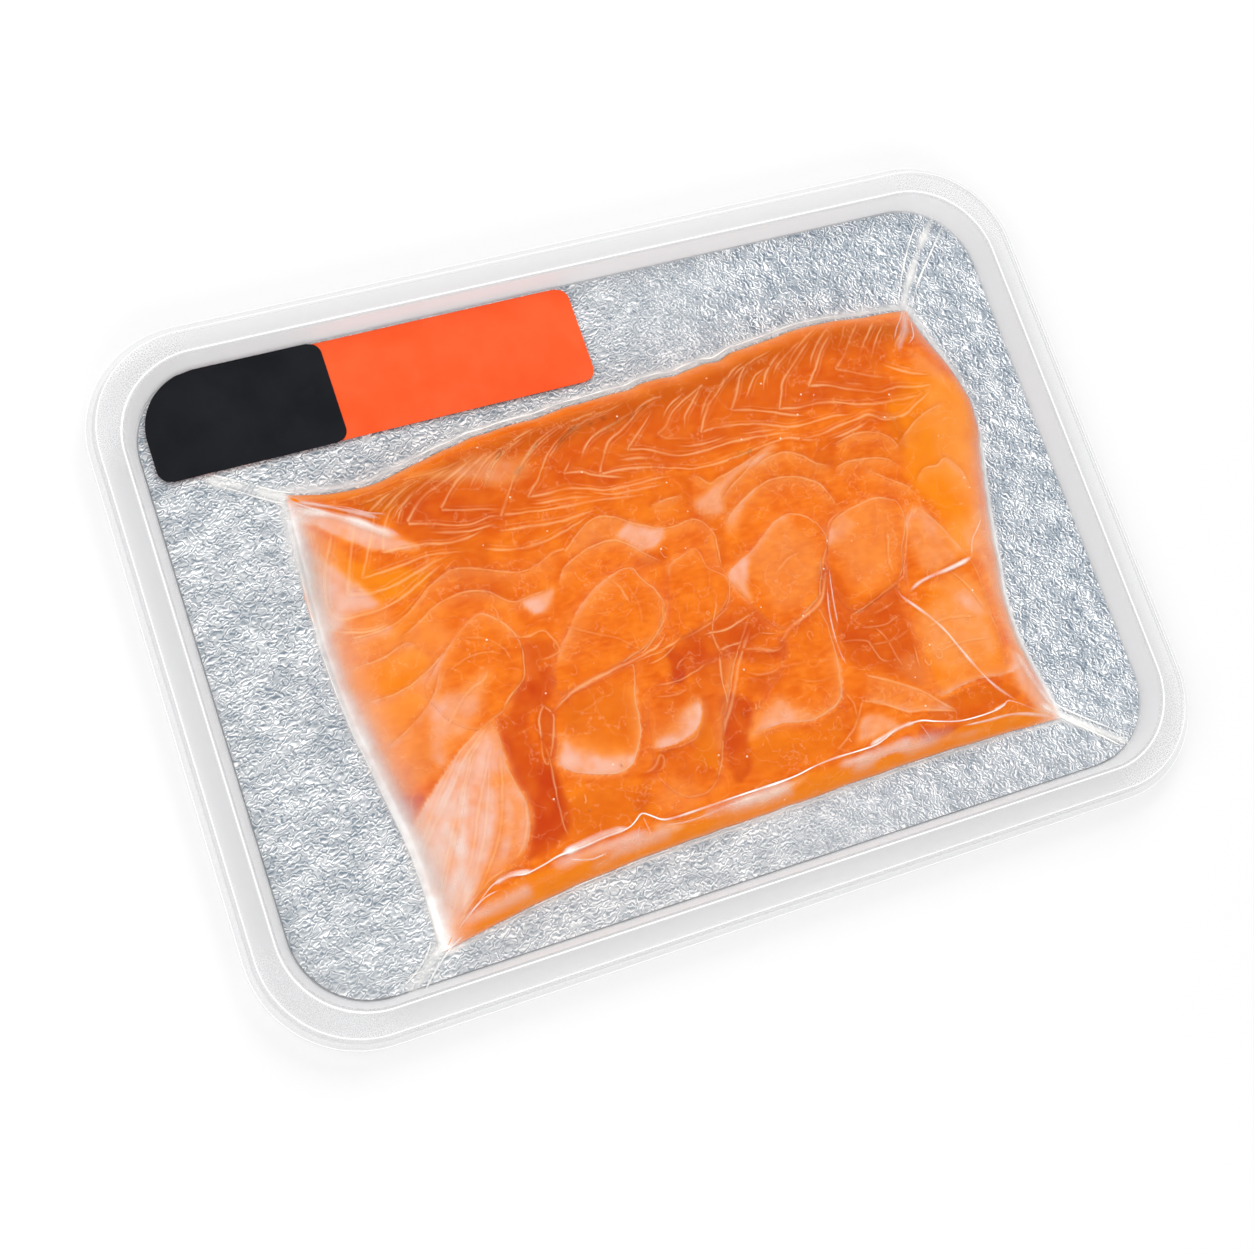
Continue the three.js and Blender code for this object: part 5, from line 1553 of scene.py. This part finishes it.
base = flesh.mix(pale, base, pale_colour)
wisp = flesh.math("ABSOLUTE", flesh.math("SUBTRACT", flesh.noise(150, 4), 0.5))
base = flesh.tint(base, flesh.ramp(wisp, 0.01, 0.0), 0.22, FLESH["wisp"])
base = flesh.mix(flesh.amount("fat"), base, FLESH["fat"])
# painted glints: a few tiny light dots, from a Voronoi noise
place = flesh.add("TexCoord").outputs["Object"]
cell = flesh.add("TexVoronoi", {"Vector": place, "Scale": 300.0})
few = flesh.ramp(flesh.get("SeparateColor", {0: cell.outputs["Color"]}), 0.82, 0.84)
base = flesh.tint(base, flesh.ramp(cell.outputs["Distance"], 0.09, 0.06), few, FLESH["painted_glint"])
rough = flesh.ramp(fibre, 0.3, 0.8, 0.34, 0.5)
bump = flesh.get("Bump", {"Strength": 0.25, "Distance": 0.0002, "Height": fibre})
look = {"Base Color": base, "Roughness": rough, "Normal": bump, "Specular IOR Level": 0.08}
ribbons = (fat_lines, faint_lines, film_marks, seam_lines, thick_edges, fine_lines)
flesh.finish(flesh.get("BsdfPrincipled", look), salmon_back, *ribbons, *slices)

# %% [markdown]
# The film is almost invisible: light goes straight through it, apart from the mirror-like part that any
# glossy sheet throws back, which is strong only at a grazing look. The haze amount lays milky white over
# that, and part of that white is painted glare. A pleat has no gloss of its own, only the milk, which in
# places is a painted highlight.

# %% Clear film and its pleats
def milky_white_and_highlight(recipe, colour):
    """Milky film scatters light many times, so it looks equally white whichever way it faces, and the
    painted highlights and glare that use this shader are white in the same way. The shader is told that it
    always faces up, and a colour above 1 makes up for the light that steep parts lose by that."""
    up = recipe.get("CombineXYZ", {0: 0, 1: 0, 2: 1})
    return recipe.get("BsdfDiffuse", {"Color": (*colour, 1), "Normal": up})


def milk_and_glare_share(recipe, scale, least):
    """The haze and painted glare amount of the points, which fine noise lowers to the share least in places.
    """
    uneven = recipe.ramp(recipe.noise(scale, 3), 0.2, 0.8, least)
    return recipe.math("MULTIPLY", recipe.amount("haze_and_glare"), uneven, True)


clear = Recipe("clear film")
sheet = clear.clear_sheet((0.995, 0.995, 0.995), 0.09, 0.008, 0.35)
# milk and painted glare of the film, in a white above 1
milk_and_glare = milky_white_and_highlight(clear, (1.42, 1.38, 1.35))
clear.finish(clear.blend(milk_and_glare_share(clear, 500, 0.8), sheet, milk_and_glare), film)

folds_and_glare = Recipe("folds of the film")
through = folds_and_glare.get("BsdfTransparent", {"Color": (1, 1, 1, 1)})
# milk of the pleats and painted highlights, in a white above 1
milk_and_glare = milky_white_and_highlight(folds_and_glare, (1.42, 1.39, 1.34))
folds_and_glare.finish(folds_and_glare.blend(milk_and_glare_share(folds_and_glare, 700, 0.7), through, milk_and_glare), pleats_and_glare)

# %% [markdown]
# The tray is the same kind of clear plastic but thicker. Seen edge on it clouds over, because there one
# looks along the sheet, through much more plastic. Its bends show as pale and grey lines: painted highlights
# where the bends catch the light, and painted shade beside them, on the outer rim and under the board's
# edge. Small frosted patches on the corners of the flange keep packs from sticking together.

# %% Clear tray
def cloudy_plastic(recipe, front, behind):
    """Thick clear plastic seen edge on is lit from both of its faces: front is how much light it
    scatters back, behind is how much it lets through."""
    near_face = recipe.get("BsdfDiffuse", {"Color": (front, front, front * 1.01, 1)})
    far_face = recipe.get("BsdfTranslucent", {"Color": (behind, behind, behind * 1.01, 1)})
    return recipe.get("AddShader", {0: near_face, 1: far_face})


plastic = Recipe("clear tray plastic")
shader = plastic.clear_sheet((0.983, 0.984, 0.986), 0.06, 0.02, 0.25)
edge_on = plastic.math("POWER", plastic.add("LayerWeight", {"Blend": 0.35}).outputs["Facing"], 2.0)
grain = plastic.ramp(plastic.noise(2600, 2), 0.45, 0.6)
frost = plastic.math("MULTIPLY", plastic.math("MULTIPLY", plastic.amount("frost"), grain), 0.3)
body = plastic.math("MULTIPLY", edge_on, 0.25)
for more in (frost, plastic.amount("cloudy"), 0.02):
    body = plastic.math("ADD", body, more, True)
shader = plastic.blend(body, shader, cloudy_plastic(plastic, 0.5, 0.42))
# painted shade: a grey cloudy plastic on the dark lines
shader = plastic.blend(plastic.amount("shade_line"), shader, cloudy_plastic(plastic, 0.3, 0.15))
# painted highlight: white on the bright lines of the bends
shader = plastic.blend(plastic.amount("highlight_line"), shader, milky_white_and_highlight(plastic, (1.2, 1.2, 1.2)))
plastic.finish(shader, tray)

# %% [markdown]
# Crinkled foil is a mirror broken into tiny facets: some throw the light at the eye and look white,
# others look blue-grey, and thin dark creases run between them. Such small facets would take
# millions of faces, so their tones are painted by a noise on a surface that is only slightly
# metallic. The film pulled the foil while it was drawn down, so the creases run along the pack at
# the left and slant across it at the right.

# %% Foil
CREASE = (0.055, 0.015)  # how near the noise is to its middle value where a crease begins and is full
ACROSS_A_CREASE = (0.0001, 0.00036, 0)  # a short step in metres, mostly across the creases
foil = Recipe("crinkled foil")
place = foil.add("TexCoord").outputs["Object"]
warp = foil.add("TexNoise", {"Vector": place, "Scale": 520.0, "Detail": 2.0}).outputs["Color"]
bent = foil.get("VectorMath", {0: warp, 1: (0.5, 0.5, 0.5)}, operation="SUBTRACT")
bent = foil.get("VectorMath", {0: bent, "Scale": 0.0016}, operation="SCALE")
bent = foil.get("VectorMath", {0: place, 1: bent}, operation="ADD")


def crinkle(turn, long, fine, dark, light, fleck_from):
    """The height and colour of foil whose creases run at an angle and are drawn out in length. A
    crease runs where a noise crosses its middle value. It shows as a thin dark line with a thin
    light one beside it, and the foil between two creases is lighter towards one of them, as a slope
    that faces the light. Above fleck_from the tone turns to a white glint."""
    way = {"Vector": bent, "Rotation": (0, 0, math.radians(turn)), "Scale": (long, 1, 1)}
    turned = foil.get("Mapping", way, vector_type="TEXTURE")

    def fold(at):
        grain = {"Vector": at, "Scale": fine, "Detail": 1.5, "Roughness": 0.5}
        middle = foil.math("SUBTRACT", foil.add("TexNoise", grain).outputs["Fac"], 0.5)
        return foil.math("ABSOLUTE", middle)

    here, further = fold(turned), fold(foil.get("VectorMath", {0: turned, 1: ACROSS_A_CREASE}))
    lit = foil.math("MULTIPLY", foil.math("SUBTRACT", further, here), 5.0)
    broad = foil.add("TexNoise", {"Vector": turned, "Scale": 300.0, "Detail": 2.0}).outputs["Fac"]
    tone = foil.math("ADD", lit, foil.math("MULTIPLY", foil.math("SUBTRACT", broad, 0.5), 0.9))
    tone = foil.math("ADD", tone, foil.math("MULTIPLY", foil.ramp(further, *CREASE), 0.75))
    tone = foil.math("SUBTRACT", tone, foil.math("MULTIPLY", foil.ramp(here, *CREASE), 0.9))
    colour = foil.mix(foil.ramp(tone, -0.55, 0.55), dark, light)
    return here, foil.mix(foil.ramp(tone, fleck_from, fleck_from + 0.2), colour, (1.25, 1.25, 1.25))


left_height, left_colour = crinkle(8, 1.7, 560.0, srgb(126, 140, 153), srgb(255, 255, 255), 0.26)
right_height, right_colour = crinkle(-58, 1.5, 600.0, srgb(116, 132, 148), srgb(238, 243, 248), 0.14)
sides = foil.add("SeparateXYZ", {0: place}).outputs
share = foil.ramp(sides["X"], 0.0, 0.05)
height = foil.get("Mix", {0: share, 2: left_height, 3: right_height}, data_type="FLOAT")
colour = foil.mix(share, left_colour, right_colour)
# The foil is whiter towards the near edge of the board.
colour = foil.tint(colour, foil.ramp(sides["Y"], -0.055, -0.08), 0.18, (1, 1, 1))
bump = foil.get("Bump", {"Strength": 0.6, "Distance": 0.0004, "Height": height})
look = {"Base Color": colour, "Metallic": 0.12, "Roughness": 0.4, "Normal": bump}
foil.finish(foil.get("BsdfPrincipled", look), board)

# %% [markdown]
# The label is smooth printed film with a satin shine, soft blotches and faint wrinkles.

# %% Labels
def label_material(name, colour, light, piece):
    """A satin print that turns towards a lighter colour in soft blotches and in fine wrinkles."""
    r = Recipe(name)
    wrinkle = r.noise(260, 5, (1, 0.6, 1))
    base = r.tint(colour, r.ramp(r.noise(90, 3), 0.35, 0.7), 0.5, light)
    base = r.tint(base, r.ramp(wrinkle, 0.6, 0.75), 0.25, light)
    bump = r.get("Bump", {"Strength": 0.35, "Distance": 0.0004, "Height": wrinkle})
    look = {"Base Color": base, "Roughness": 0.42, "Normal": bump, "Specular IOR Level": 0.2}
    r.finish(r.get("BsdfPrincipled", look), piece)


label_material("orange print", srgb(252, 88, 36), srgb(255, 108, 60), orange_label)
label_material("black print", srgb(16, 18, 23), srgb(30, 33, 39), black_label)

# %% [markdown]
# ## Floor, light and camera
# A white floor, a pale surrounding and large soft lamps, as in a bright studio. The floor lies a
# twentieth of a millimetre below the tray, so that the two faces don't flicker into each other.

# %% Floor and surrounding
FLOOR_SIZE, FLOOR_DROP = 2.5, 0.00005  # half its width and its depth below the tray, in metres
link = bpy.context.scene.collection.objects.link
corners = [(x * FLOOR_SIZE, y * FLOOR_SIZE, 0) for x, y in ((-1, -1), (1, -1), (1, 1), (-1, 1))]
floor_mesh = bpy.data.meshes.new("floor")
floor_mesh.from_pydata(corners, [], [(0, 1, 2, 3)])
floor = bpy.data.objects.new("floor", floor_mesh)
link(floor)
floor.location.z = -FLOOR_DROP
paint = Recipe("white floor")
tone = paint.mix(paint.ramp(paint.noise(3, 2), 0.2, 0.8), (0.915, 0.915, 0.915), (0.935, 0.935, 0.935))
look = {"Base Color": tone, "Roughness": 0.9, "Specular IOR Level": 0.0}
paint.finish(paint.get("BsdfPrincipled", look), floor)

world = bpy.data.worlds.new("studio")
bpy.context.scene.world = world
world.use_nodes = True
surrounding = world.node_tree.nodes["Background"].inputs
surrounding["Color"].default_value = (1, 1, 1, 1)
surrounding["Strength"].default_value = 0.58

# %% [markdown]
# The main lamp stands beyond the right end of the far side, so the soft shadow falls to the near
# left. Two lamps light the pieces without showing as a reflection in the film, which would hide the
# fish. The front lamp does show in it, as a soft gloss.

# %% Lamps
def soft_lamp(name, place, width, height, power, shines=True):
    """A rectangular lamp at a place in metres that shines at the pack. Without shines it lights the
    pieces but doesn't show as a reflection in them."""
    data = bpy.data.lights.new(name, "AREA")
    data.shape, data.size, data.size_y, data.energy = "RECTANGLE", width, height, power
    lamp = bpy.data.objects.new(name, data)
    lamp.location = place
    lamp.rotation_mode = "QUATERNION"
    lamp.rotation_quaternion = (-Vector(place)).to_track_quat("-Z", "Y")
    lamp.visible_glossy = shines
    link(lamp)
    print(f"{name}: {power} W")


soft_lamp("main lamp", (0.55, 0.98, 0.95), 0.9, 0.9, 8.6, False)
soft_lamp("left lamp", (-1.0, 0.2, 1.0), 0.9, 0.9, 5.2, False)
soft_lamp("front lamp", (-0.1, -1.1, 0.7), 1.2, 0.5, 4.6)

# %% [markdown]
# The camera looks down steeply from the near left. It is rolled about its line of sight, which
# turns the pack's long sides nearer to level in the picture.

# %% Camera
LENS, SENSOR, SHIFT_X, SHIFT_Y = 59.27, 36, -0.0036, 0.0034
CAMERA_AT, AIM_AT = Vector((-0.1685, -0.1052, 0.4854)), Vector((-0.01177, -0.01221, 0))
ROLL = 41.805
MOST_LAYERS = 16  # clear surfaces one behind the other that light still passes
camera_data = bpy.data.cameras.new("camera")
camera_data.lens, camera_data.sensor_width = LENS, SENSOR
camera_data.shift_x, camera_data.shift_y = SHIFT_X, SHIFT_Y
camera = bpy.data.objects.new("camera", camera_data)
camera.location = CAMERA_AT
back = (CAMERA_AT - AIM_AT).normalized()
camera.rotation_mode = "QUATERNION"
camera.rotation_quaternion = Quaternion(back, math.radians(ROLL)) @ (-back).to_track_quat("-Z", "Y")
link(camera)
bpy.context.scene.camera = camera
bpy.context.scene.view_settings.view_transform = "Standard"
bpy.context.scene.cycles.transparent_max_bounces = MOST_LAYERS
print("camera", round((CAMERA_AT - AIM_AT).length, 3), "m from its aim")
